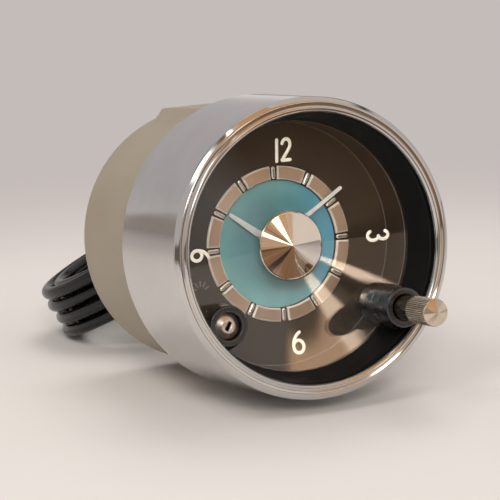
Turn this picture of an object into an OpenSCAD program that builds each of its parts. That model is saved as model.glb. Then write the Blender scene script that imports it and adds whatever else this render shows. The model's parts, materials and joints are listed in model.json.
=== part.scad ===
// Car dashboard clock: a chrome hooded face on a painted can, with its movement, controls and lead.
// Millimetres. The dial looks along -Y, twelve o'clock is +Z and three o'clock is +X.
// The origin is on the clock axis, in the plane of the hood's rear edge that seats on the panel.

/* [Hood] */
// Radius of the hood at its rear edge
hood_r = 44.8; // [42:0.1:48]
// Length of the hood from its rear edge to the front of its lip
hood_l = 40; // [38:0.5:44]
// Sheet thickness of the hood
hood_t = 0.9; // [0.7:0.1:1.0]
// Amount by which the hood narrows from its rear edge to its lip
hood_taper = 0.6; // [0.3:0.1:0.8]
// Radius of the outer bead of the rolled lip
bead_r = 1.7; // [1.5:0.1:1.8]
// Radius of the inner bead of the rolled lip
bead_in_r = 1.05; // [0.9:0.05:1.1]
// Width of the rear flange that seats on the panel round the can
flange_w = 4.2; // [3.6:0.1:4.8]

/* [Case] */
// Length of the can behind the panel plane
case_l = 47; // [46.5:0.5:52]
// Sheet thickness of the can
case_t = 0.9; // [0.7:0.1:1.0]
// Radius of the rounded rear corner of the can
case_round = 4; // [2:0.5:5]
// Width of the flat top of the pad pressed up on top of the can
pad_w = 26.3; // [22:0.1:30]
// Height of the pad's flat top above the round of the can
pad_h = 1.3; // [0.9:0.1:2]
// Room for the panel between the hood's flange and the pad
panel_room = 2.2; // [2.1:0.1:4]
// Lean of the pad's two sides
pad_lean = 35.5; // [30:0.5:42]

/* [Face] */
// Wall of the liner round the lens and the dial
liner_w = 3.75; // [3.4:0.05:4.2]
// Width of the liner's lip over the edge of the lens
lens_lip = 2.2; // [1.8:0.1:2.6]
// Thickness of the lens
lens_t = 2; // [1.5:0.1:2.4]
// Depth of the lens rim behind the front of the lip
lens_depth = 13.5; // [13:0.5:15]
// Depth of the lens middle behind its own rim
lens_dish = 4.1; // [3:0.1:4.5]
// Distance between the lens rim and the dial
face_gap = 11.5; // [11:0.5:13]
// Thickness of the dial plate
dial_t = 0.8; // [0.6:0.1:1]
// Radius of the opening in the dial over the centre dish
dish_r = 19.3; // [18.8:0.1:20.4]
// Width of the ring of hour blocks round the opening
ring_w = 4.2; // [3.6:0.1:4.8]
// Depth of the centre dish
dish_d = 4; // [3:0.2:4.4]
// Height of the hour blocks above the dial
block_h = 1; // [0.7:0.1:1.1]
// Angle that one hour block fills
block_a = 23.6; // [21:0.2:24]
// Radius of the centre cone
cone_r = 10.3; // [9:0.1:11]
// Height of the centre cone
cone_h = 1.7; // [1.2:0.1:2.4]

/* [Hands] */
// Reach of the minute hand from the axis
minute_reach = 26; // [24:0.5:28]
// Reach of the hour hand from the axis
hour_reach = 18.6; // [16:0.2:19]
// Sheet thickness of the hands
hand_t = 0.4; // [0.3:0.05:0.5]
// Minutes past the hour that the hands show at rest
show_min = 9; // [0:1:59]

/* [Controls] */
// Distance of the control axes inside the edge of the lens
boss_in = 4.2; // [4:0.1:4.6]
// Outer radius of the two bosses in front of the lens
boss_r = 5.9; // [5.6:0.1:6]
// Bore radius of the two bosses
boss_bore = 4.2; // [4.1:0.05:4.5]
// Length by which the setting boss stands past the lip
boss_out = 2.5; // [1:0.5:4]
// Depth of the regulator boss behind the front of the lip
boss_back = 7.7; // [7:0.1:8.2]
// Radius of the knurled setting knob
knob_r = 4.05; // [3.6:0.05:4.4]
// Length of the knurled barrel
knob_l = 11.7; // [9:0.1:14]
// Radius of the plain stem behind the barrel
stem_r = 3.05; // [2.6:0.05:3.4]
// Number of knurls round the barrel
knurls = 40; // [32:1:48]
// Push travel of the setting knob
push = 2.5; // [1.5:0.1:2.6]
// Radius of the regulator's slotted head
regulator_r = 3.65; // [3.3:0.05:3.9]
// Radius of the control shafts
shaft_r = 1.5; // [1.3:0.05:1.6]

/* [Movement] */
// Radius of the two movement plates
plate_r = 31.5; // [31:0.1:33]
// Thickness of the movement plates
plate_t = 1.5; // [1:0.1:1.8]
// Radius of the balance wheel
balance_r = 10; // [9:0.1:10.1]

/* [Rear] */
// Radius of the two rear studs
stud_r = 2; // [1.8:0.1:2.2]
// Half the distance between the two rear studs
stud_x = 17; // [16:0.5:19]
// Length of the studs behind the can
stud_out = 16; // [12:0.5:20]

/* [Lead] */
// Diameter of the lead
lead_d = 4.2; // [4:0.1:4.3]
// Space between neighbouring loops of the coil
loop_gap = 0.6; // [0.5:0.05:0.7]
// Number of layers in the coil
layers = 4; // [2:2:4]

/* [Hidden] */
// Smoothness of round forms
$fn = 96;
// Running clearance of a shaft in a hole
run = 0.05;
// Clearance of the hood round the can
hood_fit = 0.3;
// Clearance of the moulded liner in the hood
liner_fit = 0.15;
// Clearance of the lens, spacer and dial in the liner
stack_fit = 0.1;

// Levels along the axis, from front to back
y_lip = -hood_l;
y_liner = y_lip + 2 * bead_r + 0.4;
y_lens = y_lip + lens_depth;
y_dial = y_lens + lens_t + face_gap;
y_seat = y_dial + dial_t;
flange_t = 1;
y_front_plate = 6;
y_back_plate = 27;

// Levels and thicknesses of the wheels, in front of the front plate and between the plates
y_hour_wheel = -1.5;
y_motion = 1.2;
motion_t = 1.2;
y_shaft_end = 3.4;
y_ratchet = 10.4;
y_balance = 14;
balance_t = 2;
y_third = 18;
y_hairspring = 20;
y_centre = 22;
wheel_t = 1;
pinion_over = 0.8;
pivot_in = 0.2;

// Radii that fit one another from the hood inwards
lip_r = hood_r - hood_taper;
bead_c = lip_r - bead_r;
bead_in_c = bead_c - 1.8;
liner_r = lip_r - hood_t - liner_fit;
pocket_r = liner_r - liner_w;
stack_r = pocket_r - stack_fit;
lens_r = pocket_r - lens_lip;
mouth_r = bead_in_c - bead_in_r - 0.1;
case_r = hood_r - flange_w - hood_fit;
case_in = case_r - case_t;
pad_z = case_r + pad_h;
ring_r = dish_r + ring_w;

// Circle and places of the screws through the can's flange
screw_c = (case_r + liner_r) / 2;
screw_a = [90, 210, 330];
screw_r = 0.85;

// Tooth numbers and places of the wheels; the tooth size lets the motion work span from the axis to the boss
boss_c = lens_r - boss_in;
cannon_n = 10;
minute_n = 30;
minute_pin_n = 8;
hour_n = 32;
idler_n = 25;
setting_n = 12;
sector_n = 48;
train_n = 48;
train_pin_n = 12;
tooth_m = 2 * boss_c / (cannon_n + 2 * minute_n + 2 * idler_n + setting_n);
minute_c = (cannon_n + minute_n) * tooth_m / 2;
idler_c = minute_c + (minute_n + idler_n) * tooth_m / 2;
boss_a = -37.66;
sector_c = boss_c - (sector_n + setting_n) * tooth_m / 2;
train_c = (train_n + train_pin_n) * tooth_m / 2;
third_a = 150;
third_at = train_c * [cos(third_a), sin(third_a)];
balance_at = sector_c * [-cos(boss_a), sin(boss_a)];
ratchet_gap = 11.5;
to_balance = balance_at - third_at;
span = norm(to_balance);
along = (train_c * train_c + span * span - ratchet_gap * ratchet_gap) / (2 * span);
aside = sqrt(train_c * train_c - along * along);
unit_b = to_balance / span;
ratchet_at = third_at + along * unit_b + aside * [unit_b[1], -unit_b[0]];
ratchet_a = atan2(ratchet_at[1] - third_at[1], ratchet_at[0] - third_at[0]);
arbor_r = 0.6;
centre_r = 0.9;
cannon_r = 1.3;
pipe_r = 2.1;
post_r = 0.7;
regulator_post_r = 0.95;
pillar_c = plate_r - 2.5;
pillar_a = [45, 120, 255, 330];
feet_a = [90, 180, 290];

// Electromagnet beside the balance
magnet_gap = 0.65;
pole_t = 1.4;
core_l = 17.6;
core_r = 2.2;
magnet_x = balance_at[0] + balance_r + magnet_gap;
magnet_y = y_balance + balance_t / 2 + 0.5;
magnet_z = -20.5;

// Contact block near the edge of the plates and its blade towards the balance
contact_at = polar(plate_r - 2.7, 180 - boss_a);
contact_half = 1.8;
blade_l = plate_r - 2.7 + contact_half - sector_c - 2.6;

// Levels and slope of the hands
dish_in = 3.6;
dish_t = 0.5;
dish_slope = atan(dish_d / (dish_r - dish_in));
dish_top = y_seat + dish_d + dish_in * tan(dish_slope);
hour_lift = 1;
minute_lift = 2.2;
y_hour = dish_top - hour_lift;
y_minute = dish_top - minute_lift;

// Levels of the controls
y_boss = y_lip - boss_out;
y_boss_short = y_lip + boss_back;
y_floor_short = y_lens - 2;
y_floor = y_lens - 4.5;
y_collar = y_floor - 5.7;
collar_t = 1.2;
y_stem = y_collar - collar_t;
y_barrel = y_boss - push - 4.8;
y_knob = y_barrel - knob_l;

// Places and levels on the rear wall
wall_t = 1;
root_r = stud_r + 0.3;
y_nut = case_l + 0.8;
y_stud = y_nut + 3.2;
y_terminal = 38;
stud_z = 4;
lamp_z = 24;
lead_x = 10;
lead_z = -16;

// Lead and coil
lead_r = lead_d / 2;
pitch = lead_d + loop_gap;
turns = 2;
coil_out = 22 + pitch;
coil_tilt = 25;
coil_dip = 7;
coil_start = [17.1, 92, -10.4];
coil_x = [cos(coil_tilt), 0, sin(coil_tilt)];
coil_y = [sin(coil_tilt) * sin(coil_dip), cos(coil_dip), -cos(coil_tilt) * sin(coil_dip)];
coil_z = cross(coil_x, coil_y);
coil_in = coil_start - lead_d * coil_y;
coil_c = coil_start - coil_out * coil_x;

// Point of a turned profile at a radius and a level on the axis
function at(r, y) = [r, -y];
// Unit vector
function unit(v) = v / norm(v);
// Point at a radius and an angle
function polar(r, a) = [r * cos(a), r * sin(a)];
// Direction of a path at one of its points
function heading(p, i) = unit(p[min(i + 1, len(p) - 1)] - p[max(i - 1, 0)]);
// One tooth as radius and angle pairs, with radial flanks and a rounded tip
function tooth(rp, c, h) = [
    polar(rp - 1.2 * tooth_m, c - h),
    polar(rp, c - h),
    polar(rp + 0.47 * tooth_m, c - 0.78 * h),
    polar(rp + 0.85 * tooth_m, c - 0.35 * h),
    polar(rp + 0.85 * tooth_m, c + 0.35 * h),
    polar(rp + 0.47 * tooth_m, c + 0.78 * h),
    polar(rp, c + h),
    polar(rp - 1.2 * tooth_m, c + h)
];
// Outline of a wheel with a tooth centred on angle a
function wheel_outline(n, a) = [for (i = [0:n - 1]) each tooth(n * tooth_m / 2, a + i * 360 / n, 72 / n)];
// Radius of the coil after a number of turns, going in and out by one pitch a turn
function coil_r(t) = coil_out - pitch * abs(t - 2 * turns * round(t / (2 * turns)));
// Height in layers after a number of turns, climbing in the half turn about each reversal
function coil_h(t) = let (k = round(t / turns), f = t - k * turns)
    k == 0 || k == layers ? max(0, k - (k == layers ? 1 : 0))
    : k - 1 + min(1, max(0, f * 2 + 0.5));
// Point of the coil after a number of turns
function coil_at(t) = coil_c + coil_r(t) * (cos(360 * t) * coil_x + sin(360 * t) * coil_y)
    + pitch * coil_h(t) * coil_z;

// End of the lead, where its connector begins
lead_end = coil_at(layers * turns) + lead_d * coil_y;
sleeve_l = 14;

// Flat outline, as seen from the front, made solid between two levels
module slab(y0, y1) {
    translate([0, y1, 0]) rotate([90, 0, 0]) linear_extrude(y1 - y0) children();
}

// Profile of radius and level turned about the clock axis
module turned() {
    rotate([90, 0, 0]) rotate_extrude() children();
}

// Plain round bar between two levels at a place on the face
module bar(p, r, y0, y1) {
    slab(y0, y1) translate(p) circle(r);
}

// Toothed wheel between two levels
module wheel(p, n, a, y0, y1, bore) {
    slab(y0, y1) translate(p) difference() {
        polygon(wheel_outline(n, a));
        circle(bore);
    }
}

// Wheel with its web cut into arms
module spoked(p, n, a, y0, y1, bore, arms) {
    rim = n * tooth_m / 2 - 1.9;
    slab(y0, y1) translate(p) difference() {
        polygon(wheel_outline(n, a));
        circle(bore);
        difference() {
            circle(rim);
            circle(bore + 1.6);
            for (i = [0:arms - 1]) rotate(i * 360 / arms + 20) translate([0, -0.7]) square([rim, 1.4]);
        }
    }
}

// Round tube swept along a path
module tube(path, ref, r, sides) {
    n = len(path);
    points = [for (i = [0:n - 1])
        let (t = heading(path, i), a = unit(ref - (ref * t) * t), b = cross(t, a))
        for (k = [0:sides - 1]) path[i] + r * (cos(360 * k / sides) * a + sin(360 * k / sides) * b)];
    first = [for (k = [0:sides - 1]) k];
    last = [for (k = [sides - 1:-1:0]) (n - 1) * sides + k];
    lower = [for (i = [0:n - 2]) for (k = [0:sides - 1])
        [i * sides + k, (i + 1) * sides + k, (i + 1) * sides + (k + 1) % sides]];
    upper = [for (i = [0:n - 2]) for (k = [0:sides - 1])
        [i * sides + k, (i + 1) * sides + (k + 1) % sides, i * sides + (k + 1) % sides]];
    polyhedron(points, concat([first, last], lower, upper), convexity = 10);
}

// Place of the setting shaft and of the regulator spindle
setting_at = polar(boss_c, boss_a);
regulator_at = [-setting_at[0], setting_at[1]];
minute_at = polar(minute_c, boss_a);
idler_at = polar(idler_c, boss_a);

// Chrome hood with a double rolled lip and a flat rear flange that seats on the panel
module bezel_hood() {
    color("silver") turned() {
        polygon([
            at(hood_r, 0),
            at(lip_r, y_lip + bead_r + 0.3),
            at(lip_r - hood_t, y_lip + bead_r + 0.3),
            at(hood_r - hood_t, -1.5),
            at(case_r + hood_fit, -1.5),
            at(case_r + hood_fit, 0)
        ]);
        translate(at(bead_c, y_lip + bead_r + 0.3)) circle(bead_r);
        translate(at(bead_in_c, y_lip + bead_in_r)) circle(bead_in_r);
    }
}

// Boss of a control, with a straight-sided foot that runs out into the liner's wall
module boss(p, y0, y_foot) {
    y1 = y_lens + lens_dish;
    side = boss_r - 0.05;
    bar(p, boss_r, y0, y1);
    slab(y_foot, y1) intersection() {
        translate(p) rotate(atan2(p[1], p[0])) translate([0, -side]) square(2 * side);
        circle(pocket_r);
    }
}

// Black moulded liner: tapered mouth, lens pocket and the two control bosses
module hood_liner() {
    color("black") difference() {
        union() {
            turned() polygon([
                at(liner_r, y_liner),
                at(mouth_r, y_liner),
                at(lens_r, y_lens),
                at(pocket_r, y_lens),
                at(pocket_r, y_seat),
                at(liner_r, y_seat)
            ]);
            boss(setting_at, y_boss, y_liner + 1.2);
            boss(regulator_at, y_boss_short, y_boss_short + 0.8);
        }
        turned() polygon([
            at(0, y_lens + lens_dish - 0.1),
            at(cone_r + 0.4, y_lens + lens_dish - 0.1),
            at(lens_r, y_lens - 0.1),
            at(lens_r, y_lens),
            at(pocket_r, y_lens),
            at(pocket_r, y_seat + 1),
            at(0, y_seat + 1)
        ]);
        bar(setting_at, boss_bore, y_boss - 1, y_floor);
        bar(regulator_at, boss_bore, y_boss_short - 1, y_floor_short);
        for (p = [setting_at, regulator_at]) bar(p, shaft_r + run, y_floor - 1, y_seat);
        for (a = screw_a) bar(polar(screw_c, a), screw_r + run, y_seat - 6, y_seat + 1);
    }
}

// Clear lens, dished to its middle, with two holes for the control shafts
module lens() {
    mid = y_lens + lens_dish;
    flat = cone_r + 0.4;
    color("white") difference() {
        turned() polygon([
            at(0, mid),
            at(flat, mid),
            at(lens_r, y_lens),
            at(stack_r, y_lens),
            at(stack_r, y_lens + lens_t),
            at(lens_r, y_lens + lens_t),
            at(flat, mid + lens_t),
            at(0, mid + lens_t)
        ]);
        for (p = [setting_at, regulator_at]) bar(p, shaft_r + 0.5, y_lens - 5, y_lens + 10);
    }
}

// Low polished cone on the middle of the lens
module centre_cone() {
    base = y_lens + lens_dish;
    color("silver") turned() polygon([
        at(0, base),
        at(cone_r, base),
        at(cone_r, base - 0.3),
        at(cone_r - 0.35, base - 0.45),
        at(0, base - cone_h)
    ]);
}

// Brown ring that holds the lens off the dial
module rim_spacer() {
    color("dimgray") turned() polygon([
        at(stack_r, y_lens + lens_t),
        at(lens_r, y_lens + lens_t),
        at(lens_r - 0.4, y_dial),
        at(stack_r, y_dial)
    ]);
}

// Dark dial plate with the centre opening and the shaft holes
module dial_plate() {
    color("dimgray") slab(y_dial, y_seat) difference() {
        circle(stack_r);
        circle(dish_r);
        translate(setting_at) circle(shaft_r + run);
        translate(regulator_at) circle(shaft_r + run);
    }
}

// Blue-green disc behind the dial opening, coned down to the hub
module centre_dish() {
    color("teal") turned() polygon([
        at(dish_r + 1.5, y_seat),
        at(dish_r, y_seat),
        at(dish_in, y_seat + dish_d),
        at(dish_in, y_seat + dish_d + dish_t),
        at(dish_r, y_seat + dish_t),
        at(dish_r + 1.5, y_seat + dish_t)
    ]);
}

// Twelve bright blocks between the hours
module hour_blocks() {
    half = block_a / 2;
    far = 2 * ring_r;
    color("tan") slab(y_dial - block_h, y_dial) for (i = [0:11]) rotate(30 * i + 15) intersection() {
        difference() {
            circle(ring_r);
            circle(dish_r + 0.1);
        }
        polygon([[0, 0], polar(far, -half), polar(far, half)]);
    }
}

// Twelve rounded batons on the hours
module hour_batons() {
    mid = (ring_r + dish_r) / 2;
    reach = (ring_r - dish_r) / 2 - 0.8;
    color("silver") slab(y_dial - 0.8 * block_h, y_dial) for (i = [0:11]) rotate(30 * i) translate([mid, 0]) {
        square([2 * reach, 1.2], center = true);
        translate([reach, 0]) circle(0.6);
        translate([-reach, 0]) circle(0.6);
    }
}

// Tapered hand that leans forward with the dish, pointing at twelve
module blade(y, w0, w1, reach) {
    run_l = reach / cos(dish_slope);
    translate([0, y, 0]) rotate([dish_slope, 0, 0]) slab(-hand_t, 0) {
        polygon([[-w0 / 2, 0], [w0 / 2, 0], [w1 / 2, run_l - w1 / 2], [-w1 / 2, run_l - w1 / 2]]);
        translate([0, run_l - w1 / 2]) circle(w1 / 2);
    }
}

// Minute hand on its hub
module minute_hand() {
    color("lightgray") rotate([0, 6 * show_min, 0]) difference() {
        union() {
            blade(y_minute, 1.5, 1.1, minute_reach);
            bar([0, 0], 2.4, y_minute - 1.4, y_minute - 0.4);
        }
        bar([0, 0], 2.2, y_minute - 0.4, y_minute + 2);
        bar([0, 0], centre_r, y_minute - 3, y_minute + 2);
    }
}

// Hour hand on its hub
module hour_hand() {
    color("lightgray") rotate([0, 300 + show_min / 2, 0]) difference() {
        union() {
            blade(y_hour, 2.6, 1.2, hour_reach);
            bar([0, 0], 3.2, y_hour - 1.3, y_hour - 0.3);
        }
        bar([0, 0], 3, y_hour - 0.3, y_hour + 2);
        bar([0, 0], pipe_r, y_hour - 3, y_hour + 2);
    }
}

// Setting knob: knurled barrel with a coned end, plain stem and the long shaft
module setting_knob() {
    groove = 0.22;
    star = [for (i = [0:knurls - 1]) each [polar(knob_r - groove, i * 360 / knurls),
        polar(knob_r, (i + 0.5) * 360 / knurls)]];
    color("silver") translate([setting_at[0], 0, setting_at[1]]) {
        slab(y_knob, y_barrel) polygon(star);
        turned() polygon([at(0, y_knob), at(knob_r - 0.5, y_knob), at(0, y_knob - 1)]);
        bar([0, 0], stem_r, y_barrel, y_stem);
        bar([0, 0], shaft_r, y_stem, y_shaft_end);
    }
}

// Washer that slides in the boss and carries the push of the knob to the spring
module spring_collar() {
    color("gold") slab(y_stem, y_collar) translate(setting_at) difference() {
        circle(boss_bore - run);
        circle(shaft_r + run);
    }
}

// Compression spring behind the collar
module setting_spring() {
    wire = 0.3;
    coils = 4;
    step = 16;
    length = y_floor - y_collar - 2 * wire - 0.1;
    path = [for (i = [0:coils * step]) let (p = polar(2.8, i * 360 / step))
        [setting_at[0] + p[0], y_collar + wire + 0.05 + length * i / (coils * step), setting_at[1] + p[1]]];
    color("gray") tube(path, [0, 1, 0], wire, 6);
}

// Long pinion on the setting shaft
module setting_pinion() {
    turn = boss_a + 180;
    color("gold") wheel(setting_at, setting_n, turn, y_motion - push - 1.3, y_shaft_end - 0.4, shaft_r);
}

// Clip that keeps the setting shaft behind the dial
module setting_clip() {
    color("gray") slab(y_seat, y_seat + 0.6) translate(setting_at) difference() {
        circle(shaft_r + 1.3);
        circle(shaft_r);
    }
}

// Regulator spindle with a coned and slotted head
module regulator_spindle() {
    y_head = y_boss_short + 0.3;
    color("silver") translate([regulator_at[0], 0, regulator_at[1]]) {
        difference() {
            turned() polygon([
                at(0, y_head),
                at(1.9, y_head + 0.15),
                at(regulator_r, y_head + 1.6),
                at(regulator_r, y_floor_short),
                at(0, y_floor_short)
            ]);
            slab(y_head - 1, y_head + 1.4) rotate(58) square([2.7, 1.2], center = true);
        }
        bar([0, 0], shaft_r, y_floor_short, y_shaft_end);
    }
}

// Pinion on the regulator spindle
module regulator_pinion() {
    turn = 180 - boss_a + 180 / setting_n + 180;
    color("gold") wheel(regulator_at, setting_n, turn, y_motion - 0.4, y_shaft_end - 0.4, shaft_r);
}

// Clip that keeps the regulator spindle behind the dial
module regulator_clip() {
    color("gray") slab(y_seat, y_seat + 0.6) translate(regulator_at) difference() {
        circle(shaft_r + 1.3);
        circle(shaft_r);
    }
}

// Toothed regulator arm about the balance axis
module regulator_sector() {
    turn = 180 - boss_a;
    root = (sector_n / 2 - 1.2) * tooth_m;
    far = 2 * root;
    color("gold") slab(y_motion, y_motion + wheel_t) translate(balance_at) difference() {
        union() {
            intersection() {
                polygon(wheel_outline(sector_n, turn));
                polygon([[0, 0], polar(far, turn - 34), polar(far, turn), polar(far, turn + 34)]);
                difference() {
                    circle(far);
                    circle(root - 2);
                }
            }
            rotate(turn) translate([0, -1.1]) square([root - 1, 2.2]);
            rotate(turn + 180) translate([0, -0.6]) square([6, 1.2]);
            circle(2.6);
        }
        circle(regulator_post_r + run);
    }
}

// Three feet between the dial and the movement
module dial_feet() {
    color("gold") for (a = feet_a) bar(polar(pillar_c, a), 1.4, y_seat, y_front_plate);
}

// Front movement plate with its pivot holes and the regulator post
module front_plate() {
    color("gold") {
        slab(y_front_plate, y_front_plate + plate_t) difference() {
            circle(plate_r);
            circle(centre_r + run);
            for (p = [third_at, ratchet_at, balance_at]) translate(p) circle(arbor_r + run);
            translate([12, 15]) circle(8);
        }
        difference() {
            union() {
                bar(balance_at, 2, y_motion + wheel_t + 0.3, y_front_plate);
                bar(balance_at, regulator_post_r, y_motion - 0.4, y_motion + wheel_t + 0.3);
            }
            bar(balance_at, arbor_r + run, y_motion - 1, y_front_plate + 1);
        }
    }
}

// Back movement plate with its pivot holes
module back_plate() {
    color("gold") slab(y_back_plate, y_back_plate + plate_t) difference() {
        circle(plate_r);
        circle(centre_r + run);
        for (p = [third_at, ratchet_at, balance_at]) translate(p) circle(arbor_r + run);
        translate([12, 16]) circle(6);
    }
}

// Four pillars between the plates
module plate_pillars() {
    color("gold") for (a = pillar_a) {
        bar(polar(pillar_c, a), 2, y_front_plate + plate_t, y_back_plate);
    }
}

// Four slotted screws on the back plate
module plate_screws() {
    y0 = y_back_plate + plate_t;
    color("gray") for (a = pillar_a) difference() {
        bar(polar(pillar_c, a), 1.9, y0, y0 + 1.3);
        slab(y0 + 0.7, y0 + 2) translate(polar(pillar_c, a)) rotate(a) square([5, 0.5], center = true);
    }
}

// Fixed studs on the front plate that carry the minute wheel and the setting idler
module wheel_studs() {
    y_shoulder = y_motion + motion_t + 0.3;
    color("gray") for (post = [[minute_at, y_motion - 3.6], [idler_at, y_motion - 1.2]]) {
        bar(post[0], 1.5, y_shoulder, y_front_plate);
        bar(post[0], post_r, post[1], y_shoulder);
        bar(post[0], 1.2, post[1] - 0.5, post[1]);
    }
}

// Centre arbor from the back plate to the minute hand
module centre_arbor() {
    color("gray") bar([0, 0], centre_r, y_minute - 2, y_back_plate + plate_t + 0.6);
}

// Cannon pinion with the sleeve that reaches the minute hand
module cannon_pinion() {
    color("gold") {
        wheel([0, 0], cannon_n, boss_a, y_motion - 0.4, y_motion + motion_t + 0.4, centre_r);
        slab(y_minute - 0.4, y_motion - 0.4) difference() {
            circle(cannon_r);
            circle(centre_r);
        }
    }
}

// Centre wheel on the arbor
module centre_wheel() {
    color("gold") spoked([0, 0], train_n, third_a, y_centre, y_centre + wheel_t, centre_r, 5);
}

// Minute wheel with its pinion
module minute_wheel() {
    gap = boss_a + 180 + 180 / minute_n;
    pin_gap = boss_a + 180 + 180 / minute_pin_n;
    color("gold") {
        spoked(minute_at, minute_n, gap, y_motion, y_motion + motion_t, post_r + run, 4);
        wheel(minute_at, minute_pin_n, pin_gap, y_motion - 3.2, y_motion, post_r + run);
    }
}

// Hour wheel with the pipe that carries the hour hand
module hour_wheel() {
    color("gold") {
        wheel([0, 0], hour_n, boss_a, y_hour_wheel, y_hour_wheel + motion_t, cannon_r + run);
        slab(y_hour - 1.3, y_hour_wheel) difference() {
            circle(pipe_r);
            circle(cannon_r + run);
        }
    }
}

// Idler between the minute wheel and the setting pinion
module setting_idler() {
    color("gold") {
        spoked(idler_at, idler_n, boss_a + 180, y_motion, y_motion + motion_t, post_r + run, 4);
        slab(y_motion - 0.9, y_motion) translate(idler_at) difference() {
            circle(1.8);
            circle(post_r + run);
        }
    }
}

// Third wheel with its pinion and arbor
module third_wheel() {
    gap = third_a + 180 + 180 / train_pin_n;
    color("gold") {
        spoked(third_at, train_n, ratchet_a, y_third, y_third + wheel_t, arbor_r, 5);
        wheel(third_at, train_pin_n, gap, y_centre - pinion_over, y_centre + wheel_t + pinion_over, arbor_r);
        bar(third_at, arbor_r, y_front_plate + pivot_in, y_back_plate + plate_t - pivot_in);
    }
}

// Ratchet wheel with its pinion and arbor
module ratchet_wheel() {
    gap = ratchet_a + 180 + 180 / train_pin_n;
    teeth = 24;
    saw = [for (i = [0:teeth - 1]) each [polar(7, i * 360 / teeth), polar(6, (i + 0.15) * 360 / teeth)]];
    color("gold") {
        slab(y_ratchet, y_ratchet + wheel_t) translate(ratchet_at) difference() {
            polygon(saw);
            circle(arbor_r);
        }
        wheel(ratchet_at, train_pin_n, gap, y_third - pinion_over, y_third + wheel_t + pinion_over, arbor_r);
        bar(ratchet_at, arbor_r, y_front_plate + pivot_in, y_back_plate + plate_t - pivot_in);
    }
}

// Balance wheel with its staff, arms and roller pin
module balance_wheel() {
    color("gold") {
        slab(y_balance, y_balance + balance_t) translate(balance_at) {
            difference() {
                circle(balance_r);
                circle(balance_r - 1.5);
            }
            square([2 * balance_r - 2, 1.6], center = true);
            circle(1.8);
        }
        bar(balance_at, arbor_r, y_front_plate + pivot_in, y_back_plate + plate_t - pivot_in);
        bar(balance_at, 2, y_balance - 1.2, y_balance);
        bar(balance_at + [1.3, 0], 0.35, y_ratchet, y_balance - 1.2);
    }
}

// Flat spiral hairspring with the stud that holds its outer end on the back plate
module hairspring() {
    loops = 4;
    step = 24;
    thick = 0.22;
    count = loops * step;
    inner = [for (i = [0:count]) polar(1.1 + 4.4 * i / count, i * 360 / step)];
    outer = [for (i = [count:-1:0]) polar(1.1 + thick + 4.4 * i / count, i * 360 / step)];
    color("gray") {
        slab(y_hairspring, y_hairspring + 0.8) translate(balance_at) rotate(180) polygon(concat(inner, outer));
        bar(balance_at - [6.2, 0], 0.8, y_hairspring, y_back_plate);
    }
}

// Soft iron core of the electromagnet with its two pole plates
module magnet_core() {
    pole_y = magnet_y - 2.5;
    pole_z = magnet_z - 4.5;
    far_x = magnet_x + pole_t + core_l;
    color("dimgray") {
        translate([magnet_x + pole_t, magnet_y, magnet_z]) rotate([0, 90, 0]) cylinder(r = core_r, h = core_l);
        translate([magnet_x, pole_y, pole_z]) cube([pole_t, 5, 14]);
        translate([far_x, pole_y, pole_z]) cube([pole_t, y_back_plate - pole_y, 9]);
    }
}

// Winding of the electromagnet
module magnet_coil() {
    end_gap = 0.4;
    start_x = magnet_x + pole_t + end_gap;
    color("brown") translate([start_x, magnet_y, magnet_z]) rotate([0, 90, 0]) difference() {
        cylinder(r = core_r + 2.4, h = core_l - 2 * end_gap);
        translate([0, 0, -1]) cylinder(r = core_r, h = core_l + 2);
    }
}

// Insulating block that carries the contact
module contact_block() {
    color("maroon") slab(y_front_plate + plate_t, y_ratchet + 1.2) translate(contact_at) rotate(-boss_a) {
        square([2 * contact_half, 4.4], center = true);
    }
}

// Springy contact blade that reaches the roller pin
module contact_blade() {
    y0 = y_ratchet + 1.2;
    color("orange") slab(y0, y0 + 0.3) translate(contact_at) rotate(-boss_a) translate([-contact_half, -0.8]) {
        square([blade_l, 1.6]);
    }
}

// Flat-topped pad on the can with leaning sides and a rear end that falls away, drawn in by a distance
module pad(in) {
    top = pad_z - in;
    low = case_r / 2;
    half = pad_w / 2 - in * (1 / cos(pad_lean) - tan(pad_lean));
    foot = half + (top - low) * tan(pad_lean);
    y0 = panel_room + in;
    fall_l = 13.5;
    fall = 7.5;
    y1 = case_l - 0.5 - in;
    intersection() {
        slab(y0, y1) polygon([[-foot, low], [-half, top], [half, top], [foot, low]]);
        rotate([90, 0, 90]) linear_extrude(4 * foot, center = true) polygon(concat(
            [[y1, low], [y0, low], [y0, top - pad_h], [y0 + 1, top]],
            [for (t = [0:1.5:fall_l]) [y1 - fall_l + t, top - fall * pow(t / fall_l, 2.4)]]
        ));
    }
}

// Profile of the can, outside or inside
module can_profile(r, y0, y1, round) {
    turned() {
        polygon([at(0, y0), at(r, y0), at(r, y1 - round), at(r - round, y1), at(0, y1)]);
        translate(at(r - round, y1 - round)) circle(round);
    }
}

// Painted can with its front flange, flat-topped pad and rear holes
module case_cup() {
    color("darkkhaki") difference() {
        union() {
            can_profile(case_r, y_seat, case_l, case_round);
            slab(y_seat, y_seat + flange_t) circle(liner_r);
            pad(0);
        }
        can_profile(case_in, y_seat - 1, case_l - wall_t, case_round - case_t);
        pad(case_t);
        for (s = [-1, 1]) bar([s * stud_x, stud_z], root_r + 0.1, case_l - 5, case_l + 1);
        bar([0, lamp_z], 4.6, case_l - 5, case_l + 1);
        bar([lead_x, lead_z], lead_r + 1, case_l - 5, case_l + 1);
        for (a = screw_a) bar(polar(screw_c, a), screw_r + 0.1, y_seat - 1, y_seat + 2 * flange_t);
    }
}

// Three screws that draw the can's flange to the liner
module case_screws() {
    y0 = y_seat + flange_t;
    color("gray") for (a = screw_a) {
        bar(polar(screw_c, a), screw_r + 0.3, y0, y0 + 1);
        bar(polar(screw_c, a), screw_r, y_seat - 5, y0);
    }
}

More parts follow.
